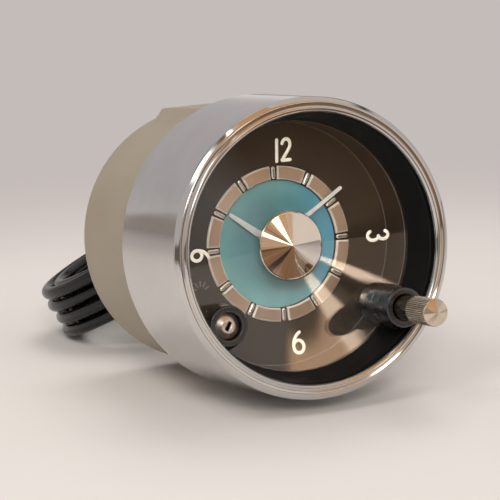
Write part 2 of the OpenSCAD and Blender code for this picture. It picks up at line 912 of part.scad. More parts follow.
// Push-in holder of the dial lamp
module lamp_holder() {
    color("silver") {
        bar([0, lamp_z], 6.4, case_l, case_l + 1.2);
        bar([0, lamp_z], 4.5, case_l - 6, case_l);
        bar([0, lamp_z], 3.2, case_l + 1.2, case_l + 5);
    }
}

// Glass of the dial lamp
module lamp_bulb() {
    color("white") translate([0, 0, lamp_z]) {
        bar([0, 0], 3.2, case_l - 10, case_l - 6);
        translate([0, case_l - 10, 0]) sphere(3.2);
    }
}

// Two rear studs that hold the movement in the can and the clock to its bracket
module rear_studs() {
    color("gray") for (s = [-1, 1]) {
        bar([s * stud_x, stud_z], stud_r, y_stud, case_l + stud_out);
        bar([s * stud_x, stud_z], root_r, case_l - wall_t, y_stud);
        bar([s * stud_x, stud_z], root_r + 0.9, y_back_plate + plate_t, case_l - wall_t);
    }
}

// Plain washers on the studs
module stud_washers() {
    color("silver") slab(case_l, y_nut) for (s = [-1, 1]) translate([s * stud_x, stud_z]) difference() {
        circle(root_r + 2.5);
        circle(root_r + run);
    }
}

// Hexagon nuts on the studs
module stud_nuts() {
    color("silver") slab(y_nut, y_stud) for (s = [-1, 1]) translate([s * stud_x, stud_z]) difference() {
        circle(root_r + 2, $fn = 6);
        circle(root_r + run);
    }
}

// Rubber grommet where the lead leaves the can
module cable_grommet() {
    color("black") translate([lead_x, 0, lead_z]) difference() {
        union() {
            bar([0, 0], lead_r + 2.2, case_l, case_l + 2);
            bar([0, 0], lead_r + 1, case_l - wall_t, case_l);
            bar([0, 0], lead_r + 2.2, case_l - wall_t - 1.5, case_l - wall_t);
        }
        bar([0, 0], lead_r + run, case_l - 10, case_l + 10);
    }
}

// Terminal post on the back plate where the lead ends
module lead_terminal() {
    color("gold") bar([lead_x, lead_z], 1.8, y_back_plate + plate_t, y_terminal);
}

// Lead from its terminal through the grommet to the start of the coil
module lead_stretch() {
    path = [[lead_x, y_terminal, lead_z], [lead_x, 46, lead_z], [lead_x, 55, lead_z], [10.1, 60, -15.9],
        [11.2, 66, -14.8], [12.9, 71, -13], [14.6, 75.5, -11.2], [15.9, 79.5, -9.9], coil_in - lead_d * coil_y,
        coil_in];
    color("black") tube(path, [1, 0, 0], lead_r, 8);
}

// Coil of spare lead as one unbroken tube
module lead_coil() {
    step = 24;
    count = layers * turns * step;
    wound = [for (i = [0:count]) coil_at(i / step)];
    path = concat([coil_in], wound, [lead_end]);
    near = [for (i = [0:count - 14]) for (j = [i + 14:count]) norm(wound[i] - wound[j])];
    echo(str("least gap between loops ", min(near) - lead_d));
    color("black") tube(path, coil_z, lead_r, 6);
}

// Rubber sleeve of the lead's connector
module connector_sleeve() {
    color("black") translate(lead_end) rotate([-coil_dip, -coil_tilt, 0]) bar([0, 0], lead_r + 1.2, 0, sleeve_l);
}

// Brass bullet of the lead's connector
module connector_bullet() {
    color("gold") translate(lead_end) rotate([-coil_dip, -coil_tilt, 0]) {
        bar([0, 0], 2.3, sleeve_l, sleeve_l + 7);
        translate([0, sleeve_l + 7, 0]) sphere(2.3);
    }
}

bezel_hood();
hood_liner();
lens();
centre_cone();
rim_spacer();
dial_plate();
centre_dish();
hour_blocks();
hour_batons();
minute_hand();
hour_hand();
setting_knob();
spring_collar();
setting_spring();
setting_pinion();
setting_clip();
regulator_spindle();
regulator_pinion();
regulator_clip();
regulator_sector();
dial_feet();
front_plate();
back_plate();
plate_pillars();
plate_screws();
wheel_studs();
centre_arbor();
cannon_pinion();
centre_wheel();
minute_wheel();
hour_wheel();
setting_idler();
third_wheel();
ratchet_wheel();
balance_wheel();
hairspring();
magnet_core();
magnet_coil();
contact_block();
contact_blade();
case_cup();
case_screws();
lamp_holder();
lamp_bulb();
rear_studs();
stud_washers();
stud_nuts();
cable_grommet();
lead_terminal();
lead_stretch();
lead_coil();
connector_sleeve();
connector_bullet();
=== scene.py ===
# %% [markdown]
# # A hooded dashboard clock
# The construction model gives every piece its place. This lesson dresses it: soft edges, knurls, threads,
# printed figures and finishes, each made as a small surface worked out from numbers. Shapes are written in
# millimetres, and y runs from the front of the clock to its back.

# %% Load the frame
import json
import math

import bmesh
import bpy
import numpy as np
from mathutils import Matrix
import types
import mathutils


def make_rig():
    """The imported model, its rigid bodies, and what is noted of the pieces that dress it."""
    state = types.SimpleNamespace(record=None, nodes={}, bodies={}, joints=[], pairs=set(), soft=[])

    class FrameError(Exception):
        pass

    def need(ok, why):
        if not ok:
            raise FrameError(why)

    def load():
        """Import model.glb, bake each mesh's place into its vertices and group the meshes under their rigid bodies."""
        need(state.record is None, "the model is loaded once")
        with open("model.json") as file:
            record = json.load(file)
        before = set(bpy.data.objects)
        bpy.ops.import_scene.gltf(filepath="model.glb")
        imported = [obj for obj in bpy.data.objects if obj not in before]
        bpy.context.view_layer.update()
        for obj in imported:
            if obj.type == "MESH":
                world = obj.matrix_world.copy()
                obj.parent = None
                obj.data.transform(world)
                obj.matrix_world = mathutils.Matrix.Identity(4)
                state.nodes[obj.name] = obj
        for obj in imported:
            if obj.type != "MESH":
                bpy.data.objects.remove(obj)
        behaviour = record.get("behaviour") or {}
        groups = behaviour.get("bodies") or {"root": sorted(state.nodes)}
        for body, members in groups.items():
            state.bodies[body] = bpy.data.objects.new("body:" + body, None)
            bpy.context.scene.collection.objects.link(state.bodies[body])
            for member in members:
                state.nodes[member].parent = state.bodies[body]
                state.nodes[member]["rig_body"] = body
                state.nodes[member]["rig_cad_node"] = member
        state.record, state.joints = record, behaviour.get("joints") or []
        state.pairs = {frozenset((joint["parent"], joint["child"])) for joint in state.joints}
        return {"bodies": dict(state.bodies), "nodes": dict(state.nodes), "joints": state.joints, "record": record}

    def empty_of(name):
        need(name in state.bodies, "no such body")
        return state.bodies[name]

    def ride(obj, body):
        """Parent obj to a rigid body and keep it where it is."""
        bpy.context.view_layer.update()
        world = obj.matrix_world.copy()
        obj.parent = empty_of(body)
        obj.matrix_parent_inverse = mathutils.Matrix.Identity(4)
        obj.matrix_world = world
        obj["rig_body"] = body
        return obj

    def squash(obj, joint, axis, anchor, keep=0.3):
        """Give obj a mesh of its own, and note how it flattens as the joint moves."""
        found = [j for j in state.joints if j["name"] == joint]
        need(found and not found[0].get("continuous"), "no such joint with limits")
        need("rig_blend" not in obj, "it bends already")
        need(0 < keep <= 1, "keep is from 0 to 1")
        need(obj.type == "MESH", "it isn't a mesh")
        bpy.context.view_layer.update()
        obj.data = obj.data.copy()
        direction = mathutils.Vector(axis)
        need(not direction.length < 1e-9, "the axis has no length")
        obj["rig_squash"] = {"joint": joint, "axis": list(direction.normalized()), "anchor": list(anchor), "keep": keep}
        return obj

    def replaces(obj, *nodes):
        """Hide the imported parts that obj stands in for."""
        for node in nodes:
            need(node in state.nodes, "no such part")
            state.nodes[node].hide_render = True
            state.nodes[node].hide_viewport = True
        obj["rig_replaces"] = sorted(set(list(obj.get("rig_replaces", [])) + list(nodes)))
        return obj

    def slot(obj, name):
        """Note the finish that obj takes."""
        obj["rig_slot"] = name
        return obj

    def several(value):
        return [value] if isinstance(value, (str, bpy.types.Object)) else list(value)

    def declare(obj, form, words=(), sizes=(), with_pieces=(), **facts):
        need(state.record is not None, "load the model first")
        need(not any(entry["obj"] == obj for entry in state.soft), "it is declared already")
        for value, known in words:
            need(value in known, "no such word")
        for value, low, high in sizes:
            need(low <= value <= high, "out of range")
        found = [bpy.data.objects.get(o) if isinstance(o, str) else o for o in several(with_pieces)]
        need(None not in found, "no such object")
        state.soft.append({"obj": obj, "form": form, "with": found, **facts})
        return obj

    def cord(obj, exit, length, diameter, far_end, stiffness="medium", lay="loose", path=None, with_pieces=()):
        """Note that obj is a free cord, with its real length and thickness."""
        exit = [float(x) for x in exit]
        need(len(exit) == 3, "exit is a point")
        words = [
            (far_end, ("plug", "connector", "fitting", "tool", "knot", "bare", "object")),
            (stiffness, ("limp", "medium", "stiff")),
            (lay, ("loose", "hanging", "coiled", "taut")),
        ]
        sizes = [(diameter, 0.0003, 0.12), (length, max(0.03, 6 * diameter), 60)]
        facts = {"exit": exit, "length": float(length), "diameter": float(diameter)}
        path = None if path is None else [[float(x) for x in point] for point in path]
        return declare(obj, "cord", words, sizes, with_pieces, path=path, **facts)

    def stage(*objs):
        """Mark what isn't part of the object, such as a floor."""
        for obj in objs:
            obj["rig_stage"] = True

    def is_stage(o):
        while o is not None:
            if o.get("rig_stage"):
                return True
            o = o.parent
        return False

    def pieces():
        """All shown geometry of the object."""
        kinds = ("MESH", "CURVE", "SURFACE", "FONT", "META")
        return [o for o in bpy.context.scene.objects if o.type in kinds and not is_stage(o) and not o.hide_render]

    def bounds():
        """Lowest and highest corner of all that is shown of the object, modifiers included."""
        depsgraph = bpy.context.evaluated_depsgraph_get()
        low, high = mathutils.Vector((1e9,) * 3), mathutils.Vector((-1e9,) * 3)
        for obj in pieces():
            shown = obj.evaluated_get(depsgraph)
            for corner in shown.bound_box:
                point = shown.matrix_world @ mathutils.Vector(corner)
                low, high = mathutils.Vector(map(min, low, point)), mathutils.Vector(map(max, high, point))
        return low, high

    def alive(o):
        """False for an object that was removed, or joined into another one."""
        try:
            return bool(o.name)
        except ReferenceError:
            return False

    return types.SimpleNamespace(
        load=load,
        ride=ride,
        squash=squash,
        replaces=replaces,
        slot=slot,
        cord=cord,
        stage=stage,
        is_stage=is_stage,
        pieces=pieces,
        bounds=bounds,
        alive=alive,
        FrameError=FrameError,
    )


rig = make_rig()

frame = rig.load()
CAD_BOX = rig.bounds()
MM = 0.001
print("frame", len(frame["nodes"]), "nodes")

# %% [markdown]
# ## Camera
# The camera was solved from the photograph's ellipses. It stands a little to the left and above, with a long lens,
# so the clock keeps its proportions and the hood's left flank shows.

# %% Camera
RIGHT = np.array([0.90675, -0.41455, -0.07719])
UP = np.array([0.11207, 0.06046, 0.99186])
AHEAD = np.array([0.40651, 0.90801, -0.10128])
EYE = np.array([-302.95, -669.57, 72.31]) * MM


def stand(made, side, up, back, place):
    """Links an object and stands it at a place in metres, with its own x, y and z along side, up and back."""
    pose = np.eye(4)
    pose[:3, :] = np.column_stack([side, up, back, place])
    made.matrix_world = Matrix(pose.tolist())
    bpy.context.scene.collection.objects.link(made)


camera = bpy.data.objects.new("studio camera", bpy.data.cameras.new("studio camera"))
camera.data.sensor_width = 36.0
camera.data.lens = 174.42
camera.data.clip_start = 0.01
stand(camera, RIGHT, UP, -AHEAD, EYE)
bpy.context.scene.camera = camera
bpy.context.scene.view_settings.view_transform = "Standard"
print("camera lens", camera.data.lens)

# %% [markdown]
# ## Tools for surfaces
# Every new piece is a grid of points: rows follow one parameter and columns another. A turned piece takes a profile
# round an axis, and a lead or a printed stroke carries a small oval along a path.


# %% Grid helpers
def grid_faces(rows, cols, loop_rows=False):
    """Quads between neighbours of a grid whose columns close on themselves, and its rows too if asked."""
    r, c = np.meshgrid(np.arange(rows if loop_rows else rows - 1), np.arange(cols), indexing="ij")
    r2, c2 = (r + 1) % rows, (c + 1) % cols
    return np.stack([r * cols + c, r * cols + c2, r2 * cols + c2, r2 * cols + c], -1).reshape(-1, 4)


def join(parts):
    """One pair of points and faces from several, each part's face numbers moved past the points before it."""
    first = np.cumsum([0] + [len(p) for p, _ in parts[:-1]])
    return np.concatenate([p for p, _ in parts]), np.concatenate([f + k for k, (_, f) in zip(first, parts)])


def full_turn(n, start=0.0):
    """The angles of n even steps of one turn, in radians."""
    return np.linspace(start, start + 2 * np.pi, n, endpoint=False)


def about_axis(r, y, a, at=(0.0, 0.0)):
    """Points at radius r, level y and angle a about an axis along y: x = at.x + r sin a, z = at.z + r cos a."""
    return np.stack([at[0] + r * np.sin(a), y + 0 * a, at[1] + r * np.cos(a)], -1).reshape(-1, 3)


def zigzag(x):
    """A triangle wave: 1 at whole numbers, 0 halfway between them."""
    return np.abs(x % 1 - 0.5) * 2


def arc(cx, cy, r, a0, a1, n=16):
    """Points on a circle from angle a0 to a1 in degrees."""
    a = np.radians(np.linspace(a0, a1, n))
    return np.stack([cx + r * np.cos(a), cy + r * np.sin(a)], -1)


def eased(points, radius, steps=6):
    """A closed outline with each corner replaced by a parabola that starts and ends at radius over tan(half angle)."""
    p = np.asarray(points, float)
    back, on = np.roll(p, 1, 0) - p, np.roll(p, -1, 0) - p
    lb, lo = np.linalg.norm(back, axis=1, keepdims=True), np.linalg.norm(on, axis=1, keepdims=True)
    ub, uo = back / lb, on / lo
    half = np.arccos(np.clip((ub * uo).sum(1), -1, 1)) / 2
    cut = np.broadcast_to(radius, len(p)) / np.tan(half)
    just_short_of_half = 0.49
    cut = np.minimum(cut, just_short_of_half * np.minimum(lb, lo)[:, 0])[:, None]
    t = np.linspace(0, 1, steps)[None, :, None]
    a, b = (p + ub * cut)[:, None], (p + uo * cut)[:, None]
    return ((1 - t) ** 2 * a + 2 * t * (1 - t) * p[:, None] + t**2 * b).reshape(-1, 2)


def turned(profile, at=(0.0, 0.0), n=128, loop=True):
    """A profile of (radius, y) taken round an axis along y in n steps."""
    p = np.asarray(profile, float)
    return about_axis(p[:, :1], p[:, 1:], full_turn(n), at), grid_faces(len(p), n, loop)


def swept(path, half_w, half_t, up, sides=12, cap=0.0):
    """An oval along a path: sideways it is half_w, along 'up' half_t, and with cap the ends close as half circles."""
    p = np.asarray(path, float)
    step = np.linalg.norm(np.diff(p, axis=0), axis=1)
    d = np.gradient(p, np.concatenate([[0], np.cumsum(step)]), axis=0)
    d /= np.linalg.norm(d, axis=1, keepdims=True)
    scale = np.ones(len(p))
    if cap:
        over = cap * np.sin(np.linspace(0, np.pi / 2, 6))[1:]
        p = np.concatenate([p[0] - over[::-1, None] * d[0], p, p[-1] + over[:, None] * d[-1]])
        d = np.concatenate([np.repeat(d[:1], len(over), 0), d, np.repeat(d[-1:], len(over), 0)])
        shrink = np.sqrt(np.clip(1 - (over / cap) ** 2, 0, 1))
        scale = np.concatenate([shrink[::-1], scale, shrink])
    p, d = (np.concatenate([v[:1], v, v[-1:]]) for v in (p, d))
    scale = np.concatenate([[0], scale, [0]])[:, None, None]
    side = np.cross(d, np.asarray(up, float))
    side /= np.linalg.norm(side, axis=1, keepdims=True)
    top = np.cross(side, d)
    a = full_turn(sides)[None, :, None]
    ring = half_w * np.cos(a) * side[:, None] + half_t * np.sin(a) * top[:, None]
    return (p[:, None] + scale * ring).reshape(-1, 3), grid_faces(len(p), sides)


print("grid helpers ready")

# %% [markdown]
# ## From grid to piece
# A grid becomes a mesh whose doubled points are merged, so poles and seams close. A piece then rides a body, stands in
# for nodes of the construction model, and names the finish slot it takes.

# %% Mesh helpers
MERGE, SLIVER = 1e-7, 1e-8


def tidy(mesh, crease=30):
    """Merges doubled points, turns the faces outward, and shades smooth up to the crease angle in degrees."""
    work = bmesh.new()
    work.from_mesh(mesh)
    bmesh.ops.remove_doubles(work, verts=work.verts, dist=MERGE)
    bmesh.ops.dissolve_degenerate(work, edges=work.edges, dist=SLIVER)
    bmesh.ops.recalc_face_normals(work, faces=work.faces)
    work.to_mesh(mesh)
    work.free()
    mesh.shade_smooth()
    mesh.set_sharp_from_angle(angle=math.radians(crease))


def mesh_object(name, shape, crease=30):
    """A linked object at the origin, from points in millimetres and faces."""
    points, faces = shape
    mesh = bpy.data.meshes.new(name)
    mesh.from_pydata((points * MM).tolist(), [], faces.tolist())
    tidy(mesh, crease)
    made = bpy.data.objects.new(name, mesh)
    bpy.context.scene.collection.objects.link(made)
    return made


def piece(name, shape, body="clock_body", nodes=(), slot=None, crease=32):
    """A visible piece of the clock: shaded by the size of its faces, so that flat faces stay flat beside soft edges."""
    made = mesh_object(name.replace(" ", "_"), shape, crease)
    even = made.modifiers.new("even shading", "WEIGHTED_NORMAL")
    even.keep_sharp, even.weight = True, 60
    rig.ride(made, body)
    if nodes:
        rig.replaces(made, *nodes)
    if slot:
        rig.slot(made, slot)
    print(made.name, len(made.data.polygons), "faces")
    return made


print("mesh helpers ready")

# %% [markdown]
# ## The lead
# A black rubber-covered lead leaves the can through a grommet and is wound up behind it in two turns and four
# layers. Its line repeats the construction model's, so the tube lies where the solid lay. The real lead would be
# extruded, then wound by hand.

# %% Lead
LEAD_D = 4.2
PITCH = 4.8
COIL_OUT = 26.8
TURNS, TURN_STEPS = 8, 96
COIL_START = np.array([17.1, 92.0, -10.4])
TILT, DIP = math.radians(25), math.radians(7)
COIL_X = np.array([math.cos(TILT), 0, math.sin(TILT)])
COIL_Y = np.array([math.sin(TILT) * math.sin(DIP), math.cos(DIP), -math.cos(TILT) * math.sin(DIP)])
COIL_Z = np.cross(COIL_X, COIL_Y)


def coil_at(t):
    """Turn t of the coil: it works in and out over four turns and steps up one layer every two."""
    t = np.asarray(t, float)[:, None]
    k = np.round(t / 2)
    rise = np.where(k == 0, 0, np.where(k == 4, 3, k - 1 + np.clip(2 * (t - 2 * k) + 0.5, 0, 1)))
    r = COIL_OUT - PITCH * np.abs(t - 4 * np.round(t / 4))
    a = 2 * np.pi * t
    middle = COIL_START - COIL_OUT * COIL_X
    return middle + r * (np.cos(a) * COIL_X + np.sin(a) * COIL_Y) + PITCH * rise * COIL_Z


def smooth_line(points, step=0.8):
    """A Catmull-Rom line through the points, sampled about every step."""
    p = np.concatenate([2 * points[:1] - points[1:2], points, 2 * points[-1:] - points[-2:-1]])
    out = []
    for i in range(1, len(p) - 2):
        n = max(2, int(np.linalg.norm(p[i + 1] - p[i]) / step))
        t = np.linspace(0, 1, n, endpoint=False)[:, None]
        a, b, c, d = p[i - 1], p[i], p[i + 1], p[i + 2]
        out.append(b + 0.5 * t * (c - a + t * (2 * a - 5 * b + 4 * c - d + t * (3 * (b - c) + d - a))))
    return np.concatenate(out + [points[-1:]])


stretch = np.array([
    [10, 47, -16], [10, 55, -16], [10.1, 60, -15.9], [11.2, 66, -14.8], [12.9, 71, -13], [14.6, 75.5, -11.2],
    [15.9, 79.5, -9.9],
])
stretch = np.concatenate([stretch, COIL_START - LEAD_D * np.array([[2], [1], [0]]) * COIL_Y])
wound = coil_at(np.linspace(0, TURNS, TURNS * TURN_STEPS + 1))
lead_end = wound[-1] + LEAD_D * COIL_Y
lead_line = np.concatenate([smooth_line(stretch)[:-1], wound, [wound[-1] + LEAD_D / 2 * COIL_Y, lead_end]])
LEAD_LENGTH = np.linalg.norm(np.diff(lead_line, axis=0), axis=1).sum()
lead = piece("wound lead", swept(lead_line, LEAD_D / 2, LEAD_D / 2, COIL_Z, 20),
             nodes=["lead_stretch", "lead_coil"], slot="black_rubber")

# %% [markdown]
# ## The end of the lead
# A ribbed rubber sleeve and a grooved brass bullet end the lead. Both are turned about the y axis and then moved out
# to where the lead stops.


# %% Sleeve and bullet
def on_end(shape):
    """Moves a shape that was turned about the y axis to the end of the lead, along the lead's last direction."""
    points, faces = shape
    return points @ np.stack([COIL_X, COIL_Y, COIL_Z]) + lead_end, faces


sleeve_line = [[0, 0], [2.2, 0], [3.3, 1.4], [3.3, 3], [3.05, 3.5], [3.3, 4], [3.3, 5.5], [3.05, 6], [3.3, 6.5],
               [3.3, 8], [3.05, 8.5], [3.3, 9], [3.3, 14], [2.4, 14], [0, 14]]
sleeve_ease = [0] + [0.25] * 13 + [0]
sleeve = piece("connector sleeve", on_end(turned(eased(sleeve_line, sleeve_ease), n=48, loop=False)),
               nodes=["connector_sleeve"], slot="black_rubber")
bullet_line = [[0, 14], [2.3, 14], [2.3, 17], [1.9, 17.4], [1.9, 18.2], [2.3, 18.6], [2.3, 21.5], [1.5, 23.2],
               [0, 23.2]]
bullet_ease = [0, 0.1, 0.2, 0.2, 0.2, 0.2, 0.8, 0.8, 0]
bullet = piece("connector bullet", on_end(turned(eased(bullet_line, bullet_ease), n=48, loop=False)),
               nodes=["connector_bullet"], slot="brass")
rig.cord(lead, exit=lead_line[0] * MM, length=LEAD_LENGTH * MM, diameter=LEAD_D * MM, far_end="connector",
        stiffness="medium", lay="coiled", path=lead_line * MM, with_pieces=[sleeve, bullet])
print("lead", round(LEAD_LENGTH), "mm")

# %% [markdown]
# ## Hood
# The hood is a turned shell with a lip of two rolled beads. It could be spun from brass sheet, its edge rolled twice,
# and then plated with chrome. One closed outline goes round the axis, so the crease between the beads stays clean.

# %% Hood
outer_bead, inner_bead = (42.5, -38.0), (40.7, -38.95)
roll_line = [[44.8, 0], [44.19, -38.45], [42.75, -39.72], [41.55, -39.5], [40, -38]]
rear_edge = eased([[40.6, 0], [44.8, 0], [44.2, -38.0]], [0, 0.35, 0])[6:12]  # only the middle corner
front_roll = eased(roll_line, [0, 0.9, 1.6, 0, 0], 14)[14:43]  # two corners, and where the third begins
inside = [[43.3, -36.5], [43.9, -1.5], [40.6, -1.5], [40.6, -0.1], [40.7, 0]]
hood_line = np.concatenate([
    rear_edge,
    front_roll,
    arc(*inner_bead, 1.05, -31, -275.5, 40),
    arc(*outer_bead, 1.7, 176.8, 58, 12),
    inside,
])
hood = piece("chrome hood", turned(hood_line, n=256), nodes=["bezel_hood"], slot="chrome")

# %% [markdown]
# ## Liner and bosses
# The black moulding lines the hood, holds the lens and carries two tubes for the controls. Each tube runs into the
# wall with a straight-sided foot, as a moulding needs for its draft and strength.

# %% Liner and bosses
SET, REG = (26.125, -20.163), (-26.125, -20.163)
LENS_LEVEL, LENS_DISH = -22.4, 4.1
LENS_FLAT, LENS_SLOPE = 10.7, 26.5
WALL_R = 38.7
BOSS_R, BOSS_FOOT_R, BOSS_BACK = 5.9, 6.2, -25
SHAFT_R, FOOT_BLEND, LENS_GAP = 1.6, 1.2, 0.1
liner_line = [[43.15, -36.2], [39.55, -36.2], [37.2, -26.5], [39.4, -26.5], [39.4, -12.2], [43.15, -12.2]]
liner = piece("hood liner", turned(eased(liner_line, [0.2, 0.7, 0.05, 0, 0, 0.2]), n=192),
              nodes=["hood_liner"], slot="black_moulding")


def lens_front(r):
    """Level of the lens's front face at radius r: flat in the middle, then a straight cone to the rim."""
    return LENS_LEVEL - LENS_DISH * np.clip((r - LENS_FLAT) / LENS_SLOPE, 0, 1)


def boss(name, at, front, foot, floor, bore):
    """A tube round a control: the outside is a circle in front and, behind the foot level, widens to reach the wall."""
    a = full_turn(144, -np.pi)
    c = math.hypot(*at)
    wall = -c * np.cos(a) + np.sqrt(WALL_R**2 - (c * np.sin(a)) ** 2)
    straight = np.minimum(BOSS_R / np.maximum(np.abs(np.sin(a)), 1e-3), wall)
    u_form = np.maximum(BOSS_R, straight * (np.cos(a) > 0))
    line = eased([[SHAFT_R, BOSS_BACK], [SHAFT_R, floor], [bore, floor], [bore, front], [BOSS_R, front],
                  [BOSS_FOOT_R, foot], [BOSS_FOOT_R, BOSS_BACK]], [0, 0, 0.1, 0.35, 0.45, 0, 0])
    share = np.clip((line[:, 1] - foot + FOOT_BLEND / 2) / FOOT_BLEND, 0, 1)
    share = (share * share * (3 - 2 * share) * (line[:, 0] > BOSS_R - 0.1))[:, None]
    r = line[:, :1] + share * (u_form - BOSS_R)
    out = np.array(at) / c
    x = at[0] + r * (np.cos(a) * out[0] - np.sin(a) * out[1])
    z = at[1] + r * (np.cos(a) * out[1] + np.sin(a) * out[0])
    y = np.minimum(line[:, 1:] + 0 * a, lens_front(np.hypot(x, z)) - LENS_GAP)
    pts = np.stack([x, y, z], -1).reshape(-1, 3)
    return piece(name, (pts, grid_faces(len(line), len(a), True)), slot="black_moulding")


setting_boss = boss("setting boss", SET, front=-42.5, foot=-35.0, floor=-31.0, bore=3.95)
regulator_boss = boss("regulator boss", REG, front=-32.3, foot=-31.5, floor=-28.5, bore=4.2)

# %% [markdown]
# ## Lens centre and rim
# A low polished cone sits on the middle of the dished lens and hides the hub. Two thin pale rings edge the brown
# wall between lens and dial.

# %% Cone and edge rings
rim_points = [[0, -22.4], [10.3, -22.4], [10.3, -22.75], [10.05, -22.9], [9.8, -22.7], [0, -24.1]]
rim_line = eased(rim_points, [0, 0, 0.1, 0.1, 0.03, 0])[:30]  # five corners of six points
flank = np.linspace([9.7, -22.714], [0.03, -24.096], 24)
cone_line = np.concatenate([rim_line, flank, rim_points[-1:]])
cone = piece("centre cone", turned(cone_line, n=240, loop=False), nodes=["centre_cone"], slot="chrome", crease=14)


def ring(r, y, wire):
    """A thin bead of round wire at radius r."""
    return turned(arc(r, y, wire, 0, 330, 10), n=160)


edges = piece("rim edges", join([ring(37.1, -24.4, 0.14), ring(36.75, -13.1, 0.12)]), slot="bright_plate")

# %% [markdown]
# ## Chapter ring
# Twelve bright blocks stand between the hours with a rounded baton at each hour. They could be cast as one ring and
# faced bright. A chamfered section is carried round each arc and drawn in at the ends, so ends and edges catch light.

# %% Blocks and batons
HOUR = 30
BLOCK_IN, BLOCK_MID, BLOCK_OUT = 19.45, 21.5, 23.5
BLOCK_TOP, BLOCK_END, BLOCK_CORE, BLOCK_FOOT = -14.0, -13.6, -13.3, -13.0
HALF_BLOCK, BEVEL = 11.8, 0.42
BATON_LEVEL, BATON_W, BATON_T = -13.3, 0.6, 0.5


def block(mid):
    """One block about the angle mid in degrees: a chamfered section swept over 23.6 degrees, closed at both ends."""
    across = [BLOCK_IN, BLOCK_IN, BLOCK_IN + BEVEL, BLOCK_OUT - BEVEL, BLOCK_OUT, BLOCK_OUT]
    shoulder = BLOCK_TOP + BEVEL
    section = np.column_stack([across, [BLOCK_FOOT, shoulder, BLOCK_TOP, BLOCK_TOP, shoulder, BLOCK_FOOT]])
    low = np.column_stack([across, [BLOCK_FOOT] + [BLOCK_END] * 4 + [BLOCK_FOOT]])
    point = np.repeat([[BLOCK_MID, BLOCK_CORE]], 6, 0)
    cut = HALF_BLOCK - math.degrees(BEVEL / BLOCK_MID)
    rows = np.stack([point, low] + [section] * 13 + [low, point])
    a = np.concatenate([[-HALF_BLOCK] * 2, np.linspace(-cut, cut, 13), [HALF_BLOCK] * 2])
    return about_axis(rows[..., 0], rows[..., 1], np.radians(mid + a)[:, None]), grid_faces(len(rows), 6)


def baton(mid):
    """A pill along the radius at the angle mid: a half-round bar with ball ends."""
    a = math.radians(mid)
    way = np.array([math.sin(a), 0, math.cos(a)])
    line = np.linspace(20.15, 22.75, 8)[:, None] * way + [0, BATON_LEVEL, 0]
    return swept(line, BATON_W, BATON_T, (0, 1, 0), 16, BATON_W)


blocks = piece("hour blocks", join([block(HOUR * i + HOUR / 2) for i in range(12)]), nodes=["hour_blocks"],
               slot="bright_plate", crease=20)
batons = piece("hour batons", join([baton(HOUR * i) for i in range(12)]), nodes=["hour_batons"], slot="chrome")

# %% [markdown]
# ## Figures and marks
# The figures are printed behind the lens in a pale enamel. The three leans to the right and the nine to the left, so
# their heads point outward. Each stroke is a flat oval carried along a line, laid on the lens's conical back.

# %% Figures
PEN, FINE_PEN = 1.02, 0.5
INK, LENS_T = 0.12, 2.14


def stroke(line, at, turn, width):
    """A printed stroke: the flat line is turned clockwise, moved to its place and laid on the lens's back."""
    a = math.radians(turn)
    x = at[0] + line[:, 0] * math.cos(a) + line[:, 1] * math.sin(a)
    z = at[1] - line[:, 0] * math.sin(a) + line[:, 1] * math.cos(a)
    path = np.stack([x, lens_front(np.hypot(x, z)) + LENS_T, z], -1)
    return swept(path, width / 2, INK, (0, 1, 0), 10, width / 2)


def line_to(a, b, n=8):
    """Points from a to b."""
    return np.linspace(a, b, n)


ONE = [line_to((0, -3.3), (0, 3.3))]
TWO = [np.concatenate([arc(0, 1.5, 1.75, 165, -35, 20), line_to((0.6, -0.6), (-1.7, -3.2))]),
       line_to((-1.7, -3.25), (1.8, -3.25))]
THREE = [arc(0, 1.65, 1.6, 150, -80, 20), arc(0, -1.6, 1.8, 80, -150, 22)]
SIX = [arc(0, -1.45, 1.85, 180, 540, 32), arc(2.6, -1.4, 4.45, 180, 113, 16)]
NINE = [-s for s in SIX]
PLACES = (
    # strokes, place, turn in degrees, size across and along
    (ONE, (-2.8, 28.6), 0, (0.74, 0.96)),
    (TWO, (0.25, 28.7), 0, (0.74, 0.96)),
    (THREE, (28.7, 0), 90, (0.8, 0.96)),
    (SIX, (-0.5, -28.8), 0, (0.9, 1.0)),
    (NINE, (-29.8, 0.5), -90, (0.8, 0.93)),
)
figures = [stroke(line * size, at, turn, PEN) for strokes, at, turn, size in PLACES for line in strokes]
numerals = piece("printed figures", join(figures))

tick, fan_middle = line_to((0, 1.7), (0, 3.1), 4), (-30.9, -10.2)
marks = piece("adjusting marks", join([stroke(tick, fan_middle, turn, FINE_PEN) for turn in (-64, -32, 0, 32, 64)]))

# %% [markdown]
# ## Setting knob
# The knob turns the hands. Its barrel has forty straight ridges, rolled in with a knurling wheel, and a low
# coned end. One grid covers it all: the radius follows the profile, and between the chamfers it also follows a
# triangle wave round the barrel.

# %% Setting knob
KNURLS, KNURL_COLUMNS, KNURL_DEPTH = 40, 8, 0.24
KNURL_FROM, KNURL_FADE = 3.82, 0.26
knob_points = [[0, -62.5], [3.8, -61.3], [4.1, -61.0], [4.1, -50.2], [3.8, -49.8], [3.68, -49.7], [3.68, -39.6],
               [3.05, -39.0], [3.05, -37.9], [1.5, -37.9], [1.5, 3.4], [0, 3.4]]
knob_line = eased(knob_points, [0.05, 0.08, 0.12, 0.1, 0.1, 0.05, 0.1, 0.1, 0.1, 0, 0, 0])
before, behind = knob_line[:18], knob_line[18:]  # three corners of six points lead up to the barrel
knob_line = np.concatenate([before, np.linspace(before[-1], behind[0], 14), behind])
a = full_turn(KNURLS * KNURL_COLUMNS)
depth = KNURL_DEPTH * np.clip((knob_line[:, :1] - KNURL_FROM) / KNURL_FADE, 0, 1)
ridged = about_axis(knob_line[:, :1] - depth * zigzag(a * KNURLS / (2 * np.pi)), knob_line[:, 1:], a, SET)
